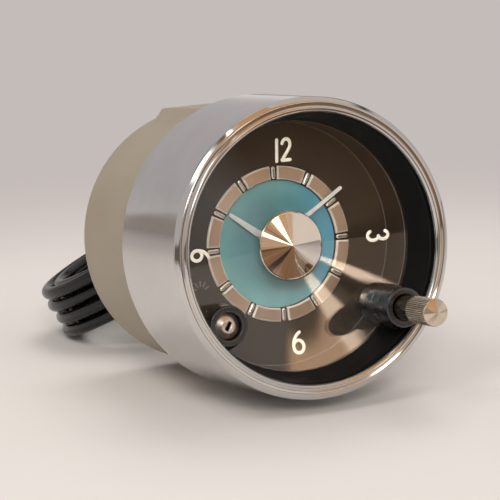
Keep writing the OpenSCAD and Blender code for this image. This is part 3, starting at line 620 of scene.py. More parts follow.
knob = piece("setting knob", (ridged, grid_faces(len(knob_line), len(a))), "setting_control",
             ["setting_knob"], "steel", 24)

# %% [markdown]
# ## Setting spring
# A small spring behind the knob's collar brings it forward again. Its wire climbs as a helix between two flat ends,
# and the piece shortens toward the boss's floor as the knob is pushed in.

# %% Setting spring
SPRING_R, WIRE_R = 2.8, 0.3
SPRING_FRONT, SPRING_RISE = -36.35, 5.0
FLAT_TURN, RISING_TURNS = 0.45, 4.5
turns = np.linspace(0, RISING_TURNS + 2 * FLAT_TURN, 280)
level = SPRING_FRONT + SPRING_RISE * np.clip((turns - FLAT_TURN) / RISING_TURNS, 0, 1)
helix = about_axis(SPRING_R, level, 2 * np.pi * turns, SET)
spring = piece("setting spring", swept(helix, WIRE_R, WIRE_R, (0, 1, 0), 10), nodes=["setting_spring"], slot="steel")
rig.squash(spring, "setting_push", axis=(0, 1, 0), anchor=(SET[0] * MM, -0.031, SET[1] * MM), keep=3.2 / 5.7)

# %% [markdown]
# ## Regulator spindle
# The spindle's head is turned with a coned shoulder and polished, with a short milled slot for a screwdriver.
# A block is cut out of the turned head.


# %% Regulator spindle
def cut_out(target, tool):
    """Takes the tool's volume out of the target and removes the tool."""
    cut = target.modifiers.new("slot", "BOOLEAN")
    cut.object, cut.operation, cut.solver = tool, "DIFFERENCE", "EXACT"
    bpy.context.view_layer.update()
    done = target.evaluated_get(bpy.context.evaluated_depsgraph_get())
    mesh = bpy.data.meshes.new_from_object(done)
    target.modifiers.clear()
    target.data = mesh
    tidy(mesh)
    bpy.data.objects.remove(tool)


head_line = [[0, -32.1], [2.0, -31.8], [3.85, -30.7], [3.85, -28.5], [1.5, -28.5], [1.5, 3.4], [0, 3.4]]
spindle = piece("regulator spindle", turned(eased(head_line, [0, 0.6, 0.3, 0, 0, 0, 0]), REG, 128, False),
                "regulator_control", ["regulator_spindle"], "nickel")
SLOT_TURN, SLOT_HALF, SLOT_LEVELS = math.radians(58), (1.35, 0.6), (-33.5, -30.6)
c, s = math.cos(SLOT_TURN), math.sin(SLOT_TURN)
corners = np.array([[-1, -1], [1, -1], [1, 1], [-1, 1]]) * SLOT_HALF @ np.array([[c, s], [-s, c]]) + REG
box = np.concatenate([np.insert(corners, 1, y, axis=1) for y in SLOT_LEVELS])
cut_out(spindle, mesh_object("slot cutter", (box, np.concatenate([grid_faces(2, 4), [[0, 1, 2, 3], [4, 5, 6, 7]]]))))
print("slot cut,", len(spindle.data.polygons), "faces")

# %% [markdown]
# ## Can
# The can is drawn from sheet steel and painted. A flat pad is pressed up on top. The radius is a function of the
# angle and of the distance back: the pad's top and sides are straight lines seen from the axis, and the larger of
# wall and pad wins, with a soft blend.


# %% Can
def soft_max(a, b, k):
    """The larger of a and b, rounded over a band of width k."""
    h = np.clip(0.5 + 0.5 * (a - b) / k, 0, 1)
    return b + (a - b) * h + k * h * (1 - h)


CAN_R, PAD_TOP, PAD_SIDE, PAD_BLEND = 40.3, 41.6, 30.0, 2.2
PAD_FRONT, DROP_FROM, DROP_RUN, DROP_DEPTH, DROP_POWER = 2.2, 33, 13.5, 7.5, 2.4
wall_y = np.concatenate([[-10.9, -4, 0, 1.6], np.linspace(2.0, 3.4, 8), np.linspace(4.5, 31, 8),
                         np.linspace(32, 43, 16)])
inside = [[0, 46], [36.3, 46], [38.4, 45.1], [39.4, 43]]
can_line = np.concatenate([
    [[39.4, -12.2], [43.1, -12.2], [43.1, -11.2], [CAN_R, -11.2]],
    np.column_stack([np.full(len(wall_y), CAN_R), wall_y]),
    arc(36.3, 43, 4, 0, 90, 10)[1:],
    [[30, 47], [20, 47], [10, 47], [0, 47]],
    inside,
])
r, y = can_line[:, :1], can_line[:, 1:]
a = full_turn(288, -np.pi)
flank = PAD_SIDE / np.maximum(0.5 * np.cos(a) + 0.7 * np.abs(np.sin(a)), 0.3)
pad = np.where(np.cos(a) > 0.5, np.minimum(PAD_TOP / np.maximum(np.cos(a), 0.2), flank), 0)
rise = np.clip(y - PAD_FRONT, 0, 1)
drop = DROP_DEPTH * np.clip((y - DROP_FROM) / DROP_RUN, 0, 1) ** DROP_POWER
outside = (np.arange(len(can_line)) < len(can_line) - len(inside))[:, None]
on_wall = (r > 36.4) & (y > 1) & (y < 46.9) & outside
r = r + on_wall * rise * np.maximum(soft_max(r, pad - drop, PAD_BLEND) - r, 0)
can = piece("painted can", (about_axis(r, y, a), grid_faces(len(can_line), len(a), True)), nodes=["case_cup"],
            slot="putty_paint")

# %% [markdown]
# ## Rear fittings
# Two threaded studs with hexagon nuts hold the clock. The thread is a wave that climbs one pitch each turn, and the
# nut is a hexagon cut back by a cone at both ends. A lamp holder and a rubber grommet fill the other holes.

# %% Rear fittings
STUDS = ((-17.0, 4.0), (17.0, 4.0))
THREAD_R, THREAD_PITCH, THREAD_DEPTH, THREAD_ROWS = 2.0, 0.7, 0.38, 195
THREAD_START, THREAD_END = 51.0, 62.4
NUT_FRONT, NUT_BACK, NUT_FLAT = 47.8, 51.0, 3.724
CHAMFER_R, CHAMFER_SLOPE = 3.6, 1.73


def stud(at):
    """A stud whose radius carries a triangle thread: depth times the wave of y over pitch minus the turn."""
    a = full_turn(48)
    y = np.concatenate([[28.5, 29, 46, 46, 51, 51], np.linspace(THREAD_START, THREAD_END, THREAD_ROWS), [62.7, 63, 63]])
    base = np.concatenate([[0, 3.2, 3.2, 2.3, 2.3], np.full(THREAD_ROWS + 1, THREAD_R), [1.8, 1.6, 0]])
    y, base = y[:, None], base[:, None]
    cut = THREAD_DEPTH * ((y > THREAD_START) & (base > 1.7))
    r = base - cut * zigzag(y / THREAD_PITCH - a / (2 * np.pi))
    return about_axis(r, y, a, at), grid_faces(len(y), len(a))


def nut(at):
    """A hexagon nut: apothem over the cosine of the angle to the nearest flat, cut by a 30 degree cone at each end."""
    a = full_turn(96)
    flat = NUT_FLAT / np.cos((a + np.pi / 6) % (np.pi / 3) - np.pi / 6)
    y = np.array([47.8, 47.8, 47.95, 48.15, 48.4, 50.4, 50.65, 50.85, 51.0, 51.0, 50.6, 48.2])
    chamfer = CHAMFER_R + CHAMFER_SLOPE * np.minimum(y - NUT_FRONT, NUT_BACK - y)
    r = np.minimum(flat, chamfer[:, None])
    r[[0, 9]] = 2.6  # edges of the bore
    r[[10, 11]] = 2.36  # the bore
    return about_axis(r, y[:, None], a, at), grid_faces(len(y), len(a), True)


studs = piece("threaded studs", join([stud(p) for p in STUDS]), nodes=["rear_studs"], slot="steel")
nuts = piece("stud nuts", join([nut(p) for p in STUDS]), nodes=["stud_nuts"], slot="nickel", crease=20)
holder_line = [[0, 41], [4.5, 41], [4.5, 47], [6.4, 47], [6.4, 48.2], [4.2, 48.2], [3.9, 48.7], [3.2, 49], [3.2, 51],
               [1.4, 51], [1.2, 52], [0, 52]]
holder_ease = [0, 0, 0, 0.3, 0.5, 0.4, 0.2, 0.3, 0.4, 0.1, 0.4, 0]
holder = piece("lamp holder", turned(eased(holder_line, holder_ease), (0, 24), 96, False),
               nodes=["lamp_holder"], slot="nickel")
grommet_line = [[2.15, 44.5], [4.3, 44.5], [4.3, 46], [3.1, 46], [3.1, 47], [4.3, 47], [4.3, 49], [2.15, 49]]
grommet = piece("cable grommet", turned(eased(grommet_line, [0.1, 0.5, 0.3, 0, 0, 0.3, 1.2, 0.5]), (10, -16), 72),
                nodes=["cable_grommet"], slot="black_rubber")

# %% [markdown]
# ## Tools for shaders
# A shader is a small net of nodes. These helpers make one node each and join it to what feeds it: a source is linked,
# and a plain value is set on the socket.


# %% Node helpers
def feed(tree, socket, value):
    """Links a source to an input socket, or sets a plain value on it."""
    if isinstance(value, bpy.types.NodeSocket):
        tree.links.new(value, socket)
    else:
        socket.default_value = value


def add(tree, kind, inputs=None, **settings):
    """A shader node: its settings by name first, then its inputs by socket name or number."""
    made = tree.nodes.new("ShaderNode" + kind)
    for key, value in settings.items():
        setattr(made, key, value)
    for key, value in (inputs or {}).items():
        feed(tree, made.inputs[key], value)
    return made


def maths(tree, operation, *values):
    """The result of one sum on sockets or numbers."""
    return add(tree, "Math", dict(enumerate(values)), operation=operation).outputs["Value"]


def times(tree, value, *others):
    """All values multiplied."""
    for other in others:
        value = maths(tree, "MULTIPLY", value, other)
    return value


def ramp(tree, value, start, end, low=0.0, high=1.0, smooth=False):
    """Runs from low to high while the value runs from start to end, and stays level outside."""
    limits = {"Value": value, "From Min": start, "From Max": end, "To Min": low, "To Max": high}
    kind = "SMOOTHSTEP" if smooth else "LINEAR"
    return add(tree, "MapRange", limits, interpolation_type=kind).outputs["Result"]


def mixed(tree, share, under, over):
    """The colour under, covered by the colour over as far as the share says."""
    return add(tree, "Mix", {"Factor": share, 6: under, 7: over}, data_type="RGBA").outputs[2]


def length(tree, vector):
    """The length of a vector."""
    return add(tree, "VectorMath", {0: vector}, operation="LENGTH").outputs["Value"]


def place_on(tree, kind="Object"):
    """The place on a piece in its own coordinates, in metres, or a world's direction as Generated."""
    return add(tree, "TexCoord").outputs[kind]


def axes(tree, vector):
    """The outputs X, Y and Z of a vector."""
    return add(tree, "SeparateXYZ", {"Vector": vector}).outputs


print("node helpers ready")

# %% [markdown]
# ## Shared shader groups
# Paint, plate and rubber are never quite even. Clouds pass softly between two colours, and marks are fine traces of
# handling; on the bosses, pale bluish marks are painted sparkle highlights. Shade and soil lie near an axis, between
# two levels: painted shade in grooves and a slot, with dirt in the knurls. Streaks run out from the middle, as a lathe
# leaves them. The groups only make colours and values, so each material decides what to do with them.


# %% Shader groups
def group(name, inputs, outputs):
    """An empty shader group with named sockets; returns it with the sockets to take from and those to give to."""
    tree = bpy.data.node_groups.new(name, "ShaderNodeTree")
    for label, kind, value in inputs:
        socket = tree.interface.new_socket(label, in_out="INPUT", socket_type="NodeSocket" + kind)
        if value is not None:
            socket.default_value = value
    for label, kind in outputs:
        tree.interface.new_socket(label, in_out="OUTPUT", socket_type="NodeSocket" + kind)
    return tree, tree.nodes.new("NodeGroupInput").outputs, tree.nodes.new("NodeGroupOutput").inputs


CLOUDS, take, give = group(
    "Soft clouds",
    [("Vector", "Vector", None), ("Scale", "Float", 80.0), ("Light", "Color", (1, 1, 1, 1)),
     ("Dark", "Color", (0, 0, 0, 1))],
    [("Color", "Color"), ("Value", "Float")],
)
noise = add(CLOUDS, "TexNoise", {"Vector": take["Vector"], "Scale": take["Scale"], "Detail": 4.0, "Roughness": 0.6})
level = ramp(CLOUDS, noise.outputs["Fac"], 0.3, 0.7)
feed(CLOUDS, give["Color"], mixed(CLOUDS, level, take["Dark"], take["Light"]))
feed(CLOUDS, give["Value"], level)

MARKS, take, give = group(
    "Handling marks and painted sparkle",
    [("Vector", "Vector", None), ("Scale", "Float", 600.0), ("Share", "Float", 0.3)],
    [("Mask", "Float")],
)
noise = add(MARKS, "TexNoise", {"Vector": take["Vector"], "Scale": take["Scale"], "Detail": 3.0, "Roughness": 0.7})
least = maths(MARKS, "SUBTRACT", 0.86, take["Share"])
feed(MARKS, give["Mask"], ramp(MARKS, noise.outputs["Fac"], least, 0.9))

# Painted shade in grooves and slots: darkest near an axis, between two levels.
SHADE_AND_SOIL, take, give = group(
    "Shade and soil in grooves",
    [("Vector", "Vector", None), ("Axis", "Vector", (0, 0, 0)), ("Untouched", "Float", 0.004),
     ("Darkest", "Float", 0.0038), ("Front", "Float", -0.06), ("Back", "Float", -0.05)],
    [("Mask", "Float")],
)
off = add(SHADE_AND_SOIL, "VectorMath", {0: take["Vector"], 1: take["Axis"]}, operation="SUBTRACT").outputs["Vector"]
flat = add(SHADE_AND_SOIL, "VectorMath", {0: off, 1: (1, 0, 1)}, operation="MULTIPLY").outputs["Vector"]
deep = ramp(SHADE_AND_SOIL, length(SHADE_AND_SOIL, flat), take["Untouched"], take["Darkest"])
along = axes(SHADE_AND_SOIL, off)["Y"]
behind, before = maths(SHADE_AND_SOIL, "GREATER_THAN", along, take["Front"]), maths(SHADE_AND_SOIL, "LESS_THAN", along, take["Back"])
feed(SHADE_AND_SOIL, give["Mask"], times(SHADE_AND_SOIL, behind, before, deep))

STREAKS, take, give = group("Turned streaks", [("Vector", "Vector", None), ("Scale", "Float", 8.0)],
                            [("Value", "Float")])
spot = axes(STREAKS, take["Vector"])
angle = maths(STREAKS, "ARCTAN2", spot["X"], spot["Z"])
noise = add(STREAKS, "TexNoise", {"W": angle, "Scale": take["Scale"], "Detail": 3.0, "Roughness": 0.65},
            noise_dimensions="1D")
feed(STREAKS, give["Value"], ramp(STREAKS, noise.outputs["Fac"], 0.34, 0.62))
print("groups", CLOUDS.name, MARKS.name, SHADE_AND_SOIL.name, STREAKS.name)

# %% [markdown]
# ## How a finish is made
# Each finish takes two near colours for the clouds, a range of roughness, and a fine grain for the bump. Colours are
# written as they look in daylight and turned into light values here.

# %% Finish helpers
MARKS_TO_GRAIN, GRAIN_HEIGHT = 0.4, 0.0001


def tone(r, g, b):
    """A colour from 0 to 255 as seen, as light values."""
    v = np.array([r, g, b]) / 255
    v = np.where(v <= 0.04045, v / 12.92, ((v + 0.055) / 1.055) ** 2.4)
    return (*v.tolist(), 1.0)


def new_material(name):
    """An empty material with nodes; returns it with its node tree."""
    made = bpy.data.materials.new(name)
    made.use_nodes = True
    return made, made.node_tree


def shade(material, inputs):
    """Feeds sockets of a material's surface by name."""
    surface = material.node_tree.nodes["Principled BSDF"]
    for key, value in inputs.items():
        feed(material.node_tree, surface.inputs[key], value)


def present(material, key):
    """What feeds a socket of a material's surface now."""
    return material.node_tree.nodes["Principled BSDF"].inputs[key].links[0].from_socket


def tint_over(material, share, tint):
    """Covers a material's colour with a tint as far as the share says."""
    shade(material, {"Base Color": mixed(material.node_tree, share, present(material, "Base Color"), tint)})


def swap_surface(material, share, other):
    """Puts another shader in the place of a material's surface as far as the share says."""
    tree = material.node_tree
    both = add(tree, "MixShader", {0: share, 1: tree.nodes["Principled BSDF"].outputs["BSDF"], 2: other})
    feed(tree, tree.nodes["Material Output"].inputs["Surface"], both.outputs["Shader"])


def finish(name, light, dark, rough, metal=0.0, scale=120.0, grain=0.0, grain_scale=2500.0, marks=None, specular=0.5,
           coat=0.0):
    """A material of clouds between two tones, roughness between two values, marks as (share, tone), and a fine bump."""
    made, tree = new_material(name)
    place = place_on(tree)
    cloudy = {"Vector": place, "Scale": scale, "Light": light, "Dark": dark}
    clouds = add(tree, "Group", cloudy, node_tree=CLOUDS).outputs
    shade(made, {"Base Color": clouds["Color"], "Roughness": ramp(tree, clouds["Value"], 0.0, 1.0, *rough),
                 "Metallic": metal, "Specular IOR Level": specular, "Coat Weight": coat})
    if marks:
        share, mark_tone = marks
        speckled = {"Vector": place, "Scale": grain_scale * MARKS_TO_GRAIN, "Share": share}
        tint_over(made, add(tree, "Group", speckled, node_tree=MARKS).outputs["Mask"], mark_tone)
    if grain:
        fine = add(tree, "TexNoise", {"Vector": place, "Scale": grain_scale, "Detail": 2.0}).outputs["Fac"]
        bump = add(tree, "Bump", {"Height": fine, "Strength": grain, "Distance": GRAIN_HEIGHT})
        shade(made, {"Normal": bump.outputs["Normal"]})
    return made


print("finish helpers ready")

# %% [markdown]
# ## Finishes
# One finish belongs to each slot of the construction model. A few pieces have a finish of their own beside these.

# %% Finishes
PLATE = {"light": tone(228, 208, 188), "dark": tone(216, 194, 172), "rough": (0.28, 0.33), "metal": 1.0, "scale": 60}
MAT = {
    "chrome": finish("chrome", tone(208, 207, 206), tone(200, 199, 197), (0.02, 0.06), metal=1.0, scale=60),
    "black_moulding": finish("black moulding", tone(12, 12, 11), tone(7, 7, 7), (0.36, 0.5), scale=200, grain=0.12,
                             grain_scale=1600, specular=0.2),
    "dial_brown": finish("dial paint", tone(40, 32, 24), tone(32, 26, 19), (0.34, 0.46), scale=50, specular=0.3),
    "bright_plate": finish("bright plate", **PLATE),
    "hand_silver": finish("hand silver", tone(222, 222, 218), tone(206, 206, 202), (0.32, 0.45), metal=0.15, scale=300),
    "nickel": finish("nickel", tone(214, 206, 194), tone(196, 188, 176), (0.1, 0.2), metal=1.0, scale=200,
                     marks=(0.1, tone(170, 160, 148))),
    "brass": finish("brass", tone(214, 178, 104), tone(190, 150, 82), (0.2, 0.34), metal=1.0, scale=150, grain=0.05,
                    grain_scale=5000),
    "steel": finish("steel", tone(196, 190, 182), tone(166, 158, 148), (0.18, 0.32), metal=1.0, scale=260, grain=0.06,
                    grain_scale=6000, marks=(0.12, tone(140, 128, 114))),
    "putty_paint": finish("putty paint", tone(154, 143, 124), tone(143, 131, 112), (0.38, 0.5), scale=45, grain=0.12,
                          grain_scale=1800, marks=(0.03, tone(128, 120, 102))),
    "winding": finish("winding", tone(150, 74, 36), tone(118, 52, 24), (0.3, 0.45), metal=0.2, scale=300, grain=0.4,
                      grain_scale=1200),
    "insulator": finish("insulator", tone(92, 52, 34), tone(70, 38, 26), (0.4, 0.55), scale=150, grain=0.1),
    "black_rubber": finish("black rubber", tone(12, 12, 10), tone(6, 6, 5), (0.2, 0.32), scale=160, grain=0.08,
                           grain_scale=2200, marks=(0.04, tone(34, 33, 31))),
}
# The pale bluish marks on the bosses are painted sparkle highlights.
BOSS = finish("boss moulding", tone(24, 28, 31), tone(13, 15, 17), (0.22, 0.34), scale=240, grain=0.4,
              grain_scale=1500, marks=(0.16, tone(92, 104, 112)), specular=1.0, coat=0.5)
PLATED = finish("plated knob", tone(220, 207, 192), tone(206, 192, 176), (0.2, 0.28), metal=1.0, scale=200)
SATIN = finish("satin nickel", tone(222, 212, 200), tone(208, 197, 184), (0.26, 0.34), metal=1.0, scale=240)
EDGE = finish("pale edge", tone(128, 123, 119), tone(106, 101, 97), (0.3, 0.4), metal=0.4, scale=300)
TURNED = finish("turned chrome", tone(230, 224, 218), tone(222, 215, 208), (0.04, 0.05), metal=1.0, scale=90)
BATON = finish("baton plate", tone(206, 198, 190), tone(194, 186, 177), (0.14, 0.22), metal=1.0, scale=60)
BLOCK = finish("block plate", **PLATE)
FIGURE = finish("figure enamel", tone(238, 234, 222), tone(226, 221, 208), (0.35, 0.45), scale=400)
MARK = finish("mark enamel", tone(96, 94, 90), tone(70, 68, 65), (0.4, 0.5), scale=400)
print("finishes", len(MAT), "for slots")

# %% [markdown]
# ## Painted shade, painted highlights and polish
# Painted shade darkens the knurl grooves, where dirt lies too, and the screwdriver slot. The knob's end is polished,
# and its barrel is duller than its neck. Painted highlights lighten the bevels of the chapter ring. The cone keeps the
# streaks of the lathe, painted pale on its left half as a painted reflection of the warm room.


# %% Painted shade, painted highlights and polish
def shade_and_soil(material, at, clean, soiled, front, back, darkening):
    """Paints shade in a groove or slot between two levels, darkening from the first radius to the second about an axis.
    """
    tree = material.node_tree
    reach = {"Untouched": clean * MM, "Darkest": soiled * MM, "Front": front * MM, "Back": back * MM}
    where = {"Vector": place_on(tree), "Axis": (at[0] * MM, 0, at[1] * MM), **reach}
    tint_over(material, add(tree, "Group", where, node_tree=SHADE_AND_SOIL).outputs["Mask"], darkening)


def painted_edge_highlight(material, tint, top, deep):
    """Paints a highlight on a metal behind its top level, on bevels and sides: there the metal share falls and the tint
    shows.
    """
    tree = material.node_tree
    along, limits = axes(tree, place_on(tree))["Y"], (top * MM, deep * MM)
    tint_over(material, ramp(tree, along, *limits), tint)
    shade(material, {"Metallic": ramp(tree, along, *limits, 1.0, 0.2)})


# Painted shade, with dirt, in the knurl grooves; painted shade in the screwdriver slot.
shade_and_soil(PLATED, SET, 4.08, 3.88, -61.0, -39.0, tone(112, 97, 81))
shade_and_soil(SATIN, REG, 1.8, 1.6, -31.6, -30.0, tone(52, 42, 32))
# Painted highlights on the bevels and sides of the batons and blocks.
painted_edge_highlight(BATON, tone(230, 223, 214), -13.745, -13.66)
painted_edge_highlight(BLOCK, tone(226, 217, 205), -13.99, -13.97)

KNOB_END, BARREL_BACK = (-0.0612, -0.061), (-0.0498, -0.0496)
tree = PLATED.node_tree
along = axes(tree, place_on(tree))["Y"]
polish = ramp(tree, along, *KNOB_END, 0.3, 1.0)
metal = maths(tree, "MAXIMUM", ramp(tree, along, *BARREL_BACK, 0.68, 1.0), ramp(tree, along, *KNOB_END, 1.0, 0.0))
shade(PLATED, {"Roughness": times(tree, present(PLATED, "Roughness"), polish), "Metallic": metal})

tree = TURNED.node_tree
place = place_on(tree)
streaks = add(tree, "Group", {"Vector": place, "Scale": 6.0}, node_tree=STREAKS).outputs["Value"]
# The lathe streaks are painted a warm pale tone on the cone's left half only: a painted reflection of the warm room.
painted_reflection_side = ramp(tree, axes(tree, place)["X"], 0.001, -0.002)
tint_over(TURNED, times(tree, streaks, painted_reflection_side), tone(208, 188, 166))
round_axis = add(tree, "Tangent", direction_type="RADIAL", axis="Y").outputs["Tangent"]
shade(TURNED, {"Anisotropic": 0.9, "Anisotropic Rotation": 0.25, "Tangent": round_axis})
print("painted_light_and_polish", PLATED.name, SATIN.name, BATON.name, BLOCK.name, TURNED.name)

# %% [markdown]
# ## Blue-green disc, glass
# The disc is darker and bluer to the right, and a painted shadow of the cone darkens its middle.
# Glass lets lamp light through by a transparent stand-in for shadow rays, or the dial would stay in the dark.

# %% Disc and glass
disc = finish("disc lacquer", tone(110, 158, 160), tone(98, 147, 150), (0.3, 0.42))
tree = disc.node_tree
spot = axes(tree, place_on(tree))
# Darker and bluer to the right.
tint_over(disc, ramp(tree, spot["X"], 0.002, 0.019, smooth=True), tone(68, 134, 158))
# Painted shadow of the cone, darkest toward the middle.
flat = add(tree, "CombineXYZ", {"X": spot["X"], "Z": spot["Z"]}).outputs["Vector"]
tint_over(disc, ramp(tree, length(tree, flat), 0.009, 0.019, 0.42, 0.0, smooth=True), tone(52, 98, 112))
MAT["blue_green_paint"] = disc


def glass(name, light, dark, rough):
    """Clear glass: a transmitting shader, and a plain transparent one for shadow rays."""
    made, tree = new_material(name)
    cloudy = {"Vector": place_on(tree), "Light": light, "Dark": dark}
    colour = add(tree, "Group", cloudy, node_tree=CLOUDS).outputs["Color"]
    shade(made, {"Base Color": colour, "Roughness": rough, "Transmission Weight": 1.0, "IOR": 1.49})
    through = add(tree, "BsdfTransparent", {"Color": (0.94, 0.94, 0.94, 1)})
    swap_surface(made, add(tree, "LightPath").outputs["Is Shadow Ray"], through.outputs["BSDF"])
    return made


MAT["clear_lens"] = glass("clear lens", tone(255, 254, 252), tone(250, 249, 246), 0.0)
MAT["lamp_glass"] = glass("lamp glass", tone(252, 250, 244), tone(246, 243, 235), 0.02)
print("slots with a finish", len(MAT))

# %% [markdown]
# ## Dressing
# Every new piece gets its finish. Pieces of the construction model that still show get the finish of their slot.

# %% Dressing
DRESS = (
    (MAT["chrome"], [hood]),
    (TURNED, [cone]),
    (BATON, [batons]),
    (BLOCK, [blocks]),
    (EDGE, [edges]),
    (MAT["black_moulding"], [liner]),
    (BOSS, [setting_boss, regulator_boss]),
    (PLATED, [knob]),
    (SATIN, [spindle]),
    (MAT["steel"], [studs, spring]),
    (MAT["nickel"], [nuts, holder]),
    (MAT["putty_paint"], [can]),
    (MAT["black_rubber"], [lead, sleeve, grommet]),
    (MAT["brass"], [bullet]),
    (FIGURE, [numerals]),
    (MARK, [marks]),
)
for material, pieces in DRESS:
    for made in pieces:
        made.data.materials.clear()
        made.data.materials.append(material)
for node in frame["nodes"].values():
    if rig.alive(node):
        for i, plain in enumerate(node.data.materials):
            node.data.materials[i] = MAT[plain.name.split(".")[0]]
print("dressed", sum(len(pieces) for _, pieces in DRESS), "pieces")

# %% [markdown]
# ## Stage
# The clock rests on its hood's rear edge and on the can, so the pale floor leans a little against the clock's axis.
# The floor grows greyer with distance, as a wall behind it would look. For mirrored rays alone, a brown area with a
# darker strip lies to the right in front of the clock.

# %% Stage
LEAN, FLOOR_LEVEL = math.radians(5.6), -45.2
reach = np.concatenate([np.linspace(0, 600, 25), np.linspace(800, 4000, 12)])[:, None]
a = full_turn(96)
x, y = reach * np.cos(a), 20 + reach * np.sin(a)
ground = np.stack([x, y, FLOOR_LEVEL + y * math.tan(LEAN)], -1).reshape(-1, 3)
floor = mesh_object("studio floor", (ground, grid_faces(len(reach), len(a))))
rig.stage(floor)

cloth = finish("pale floor", tone(217, 211, 206), tone(213, 207, 202), (0.8, 0.9), scale=8, specular=0.1)
tree = cloth.node_tree
rays, place = add(tree, "LightPath").outputs, place_on(tree)
spot = axes(tree, place)
far = ramp(tree, length(tree, place), 0.18, 0.5, smooth=True)
tint_over(cloth, far, tone(196, 187, 184))
slant = maths(tree, "MULTIPLY_ADD", spot["Y"], 0.52, spot["X"])
brown = times(tree, ramp(tree, spot["Y"], -0.10, -0.125), ramp(tree, slant, 0.05, 0.01),
              ramp(tree, spot["X"], 0.02, 0.045), rays["Is Glossy Ray"])
tint_over(cloth, brown, tone(128, 100, 75))
strip = times(tree, ramp(tree, spot["Y"], -0.285, -0.262), ramp(tree, spot["Y"], -0.195, -0.21),
              ramp(tree, spot["X"], 0.12, 0.10), brown)
tint_over(cloth, strip, tone(38, 35, 38))
wall = add(tree, "Emission", {"Color": tone(196, 188, 185)})
swap_surface(cloth, times(tree, far, rays["Is Camera Ray"]), wall.outputs["Emission"])
floor.data.materials.append(cloth)
print("floor leans", round(math.degrees(LEAN), 1), "degrees")

# %% [markdown]
# ## Mirrored room
# Even light comes from a pale world. What polished metal mirrors is drawn into the same world by direction: a warm
# room in front of the clock, a pale wall to its right and behind, and a few bright windows and lamps. Later zones
# cover earlier ones.

# %% Mirrored room
world = bpy.data.worlds.new("studio world")
bpy.context.scene.world = world
world.use_nodes = True
sky = world.node_tree
way = axes(sky, place_on(sky, "Generated"))
high = maths(sky, "ARCSINE", way["Z"])
FROM = {
    "front": maths(sky, "ARCTAN2", way["X"], maths(sky, "MULTIPLY", way["Y"], -1.0)),
    "back": maths(sky, "ARCTAN2", maths(sky, "MULTIPLY", way["X"], -1.0), way["Y"]),
}
ZONES = (
    # colour, side that angles count from, (first, last, softness) sideways, the same upward, in degrees
    ((0.86, 0.84, 0.82), None, None, (55, 200, 15)),  # ceiling
    ((0.53, 0.50, 0.495), "back", (-30, 30, 8), (12, 50, 6)),  # wall behind
    ((0.36, 0.31, 0.28), "back", (22.3, 45, 0.4), (-2, 10, 3)),  # dark edge low behind
    ((0.84, 0.73, 0.64), "front", (27, 75, 2), (-10, 14, 4)),  # pale wall to the right
    ((0.70, 0.66, 0.64), "back", (-60, -8, 6), (-12, 10, 3)),  # pale foot of the wall behind
    ((0.10, 0.085, 0.07), "back", (-100, 60, 10), (36, 50, 3)),  # dark beam behind
    ((0.70, 0.44, 0.25), "front", (-26, 32, 8), (14, 86, 4)),  # warm wall in front
    ((0.74, 0.64, 0.57), "front", (34, 97, 6), (42, 86, 4)),  # paler wall, high to the right
    ((0.24, 0.17, 0.11), "front", (-80, -30, 6), (56, 84, 3)),  # dark corner, high to the left
    ((6.0, 5.8, 5.5), "front", (-33, -26, 2), (59, 64, 1.5)),  # small lamp in that corner
    ((0.66, 0.47, 0.33), "front", (0, 27.5, 1.5), (-40, 16, 4)),  # tan floor in front
    ((0.40, 0.31, 0.23), "front", (-24, -1, 3), (-24, 12, 5)),  # its shaded part
    ((0.15, 0.135, 0.12), "front", (-75, -22, 4), (-9, 4, 2)),  # dark strip to the left
    ((0.07, 0.045, 0.03), "front", (11.6, 27.5, 1), (-40, 4.4, 1)),  # dark table under the window
    ((4.4, 2.75, 1.7), "front", (18.6, 27.2, 1), (5.4, 7.8, 0.4)),  # sill of the warm window
    ((7.6, 5.7, 4.2), "front", (15.4, 19, 0.6), (5.6, 9.5, 0.6)),  # warm window
    ((8.8, 6.7, 5.0), "front", (9.6, 11.4, 0.4), (0.3, 2.1, 0.4)),  # small warm lamp
    ((4.6, 4.5, 4.4), "front", (-62, -46, 5), (38, 53, 5)),  # high window to the left
    ((6.2, 6.5, 6.8), "front", (-30, -17, 4), (14, 26, 4)),  # cool window
)


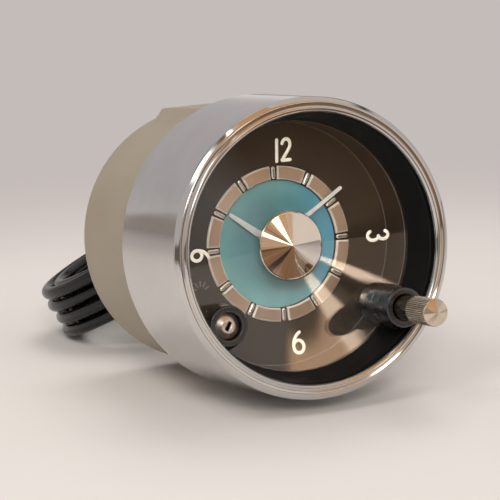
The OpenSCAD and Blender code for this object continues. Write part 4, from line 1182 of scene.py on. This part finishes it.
def band(angle, first, last, soft):
    """One where the angle lies between two limits in degrees, fading over soft degrees at both."""
    start, end = (np.radians([limit - soft, limit + soft]).tolist() for limit in (first, last))
    return times(sky, ramp(sky, angle, *start, smooth=True), ramp(sky, angle, *end, 1.0, 0.0, smooth=True))


room = (0.62, 0.57, 0.55, 1)
for colour, side, sideways, upward in ZONES:
    share = band(high, *upward)
    if side:
        share = times(sky, band(FROM[side], *sideways), share)
    room = mixed(sky, share, room, (*colour, 1))
rays = add(sky, "LightPath").outputs
mirror = maths(sky, "MAXIMUM", rays["Is Glossy Ray"], rays["Is Transmission Ray"])
plain = mixed(sky, rays["Is Camera Ray"], (0.58, 0.57, 0.56, 1), (0.56, 0.50, 0.48, 1))
feed(sky, sky.nodes["Background"].inputs["Color"], mixed(sky, mirror, plain, room))
print("mirrored zones", len(ZONES))

# %% [markdown]
# ## Lamps
# Three round soft boxes add form. Metal doesn't mirror them, because its highlights are drawn into the room.

# %% Lamps
LAMPS = (
    # name, place and size in metres, watts, colour
    ("key box", (-0.75, -0.55, 0.95), 0.55, 4.5, (1.0, 0.97, 0.93)),
    ("top box", (0.35, 0.25, 1.2), 0.8, 5.0, (1.0, 0.98, 0.96)),
    ("front box", (-0.38, -1.05, 0.42), 0.3, 6.0, (1.0, 0.98, 0.95)),
)


def soft_box(name, place, size, watts, colour):
    """A round area lamp that looks at the clock's middle."""
    lamp = bpy.data.lights.new(name, "AREA")
    lamp.shape, lamp.size, lamp.energy, lamp.color = "DISK", size, watts, colour
    made = bpy.data.objects.new(name, lamp)
    back = np.array(place) / np.linalg.norm(place)
    side = np.cross([0, 0, 1], back)
    side /= np.linalg.norm(side)
    stand(made, side, np.cross(back, side), back, place)
    made.visible_glossy = False
    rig.stage(made)


for lamp in LAMPS:
    soft_box(*lamp)
print("lamps", len(LAMPS))

# %% [markdown]
# ## Sizes and finish
# The box of the construction model and the box of the dressed clock are written down, so the two can be compared.

# %% Sizes and finish
lo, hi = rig.bounds()
json.dump({"cad": [list(v) for v in CAD_BOX], "visual": [list(lo), list(hi)]}, open("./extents.json", "w"))
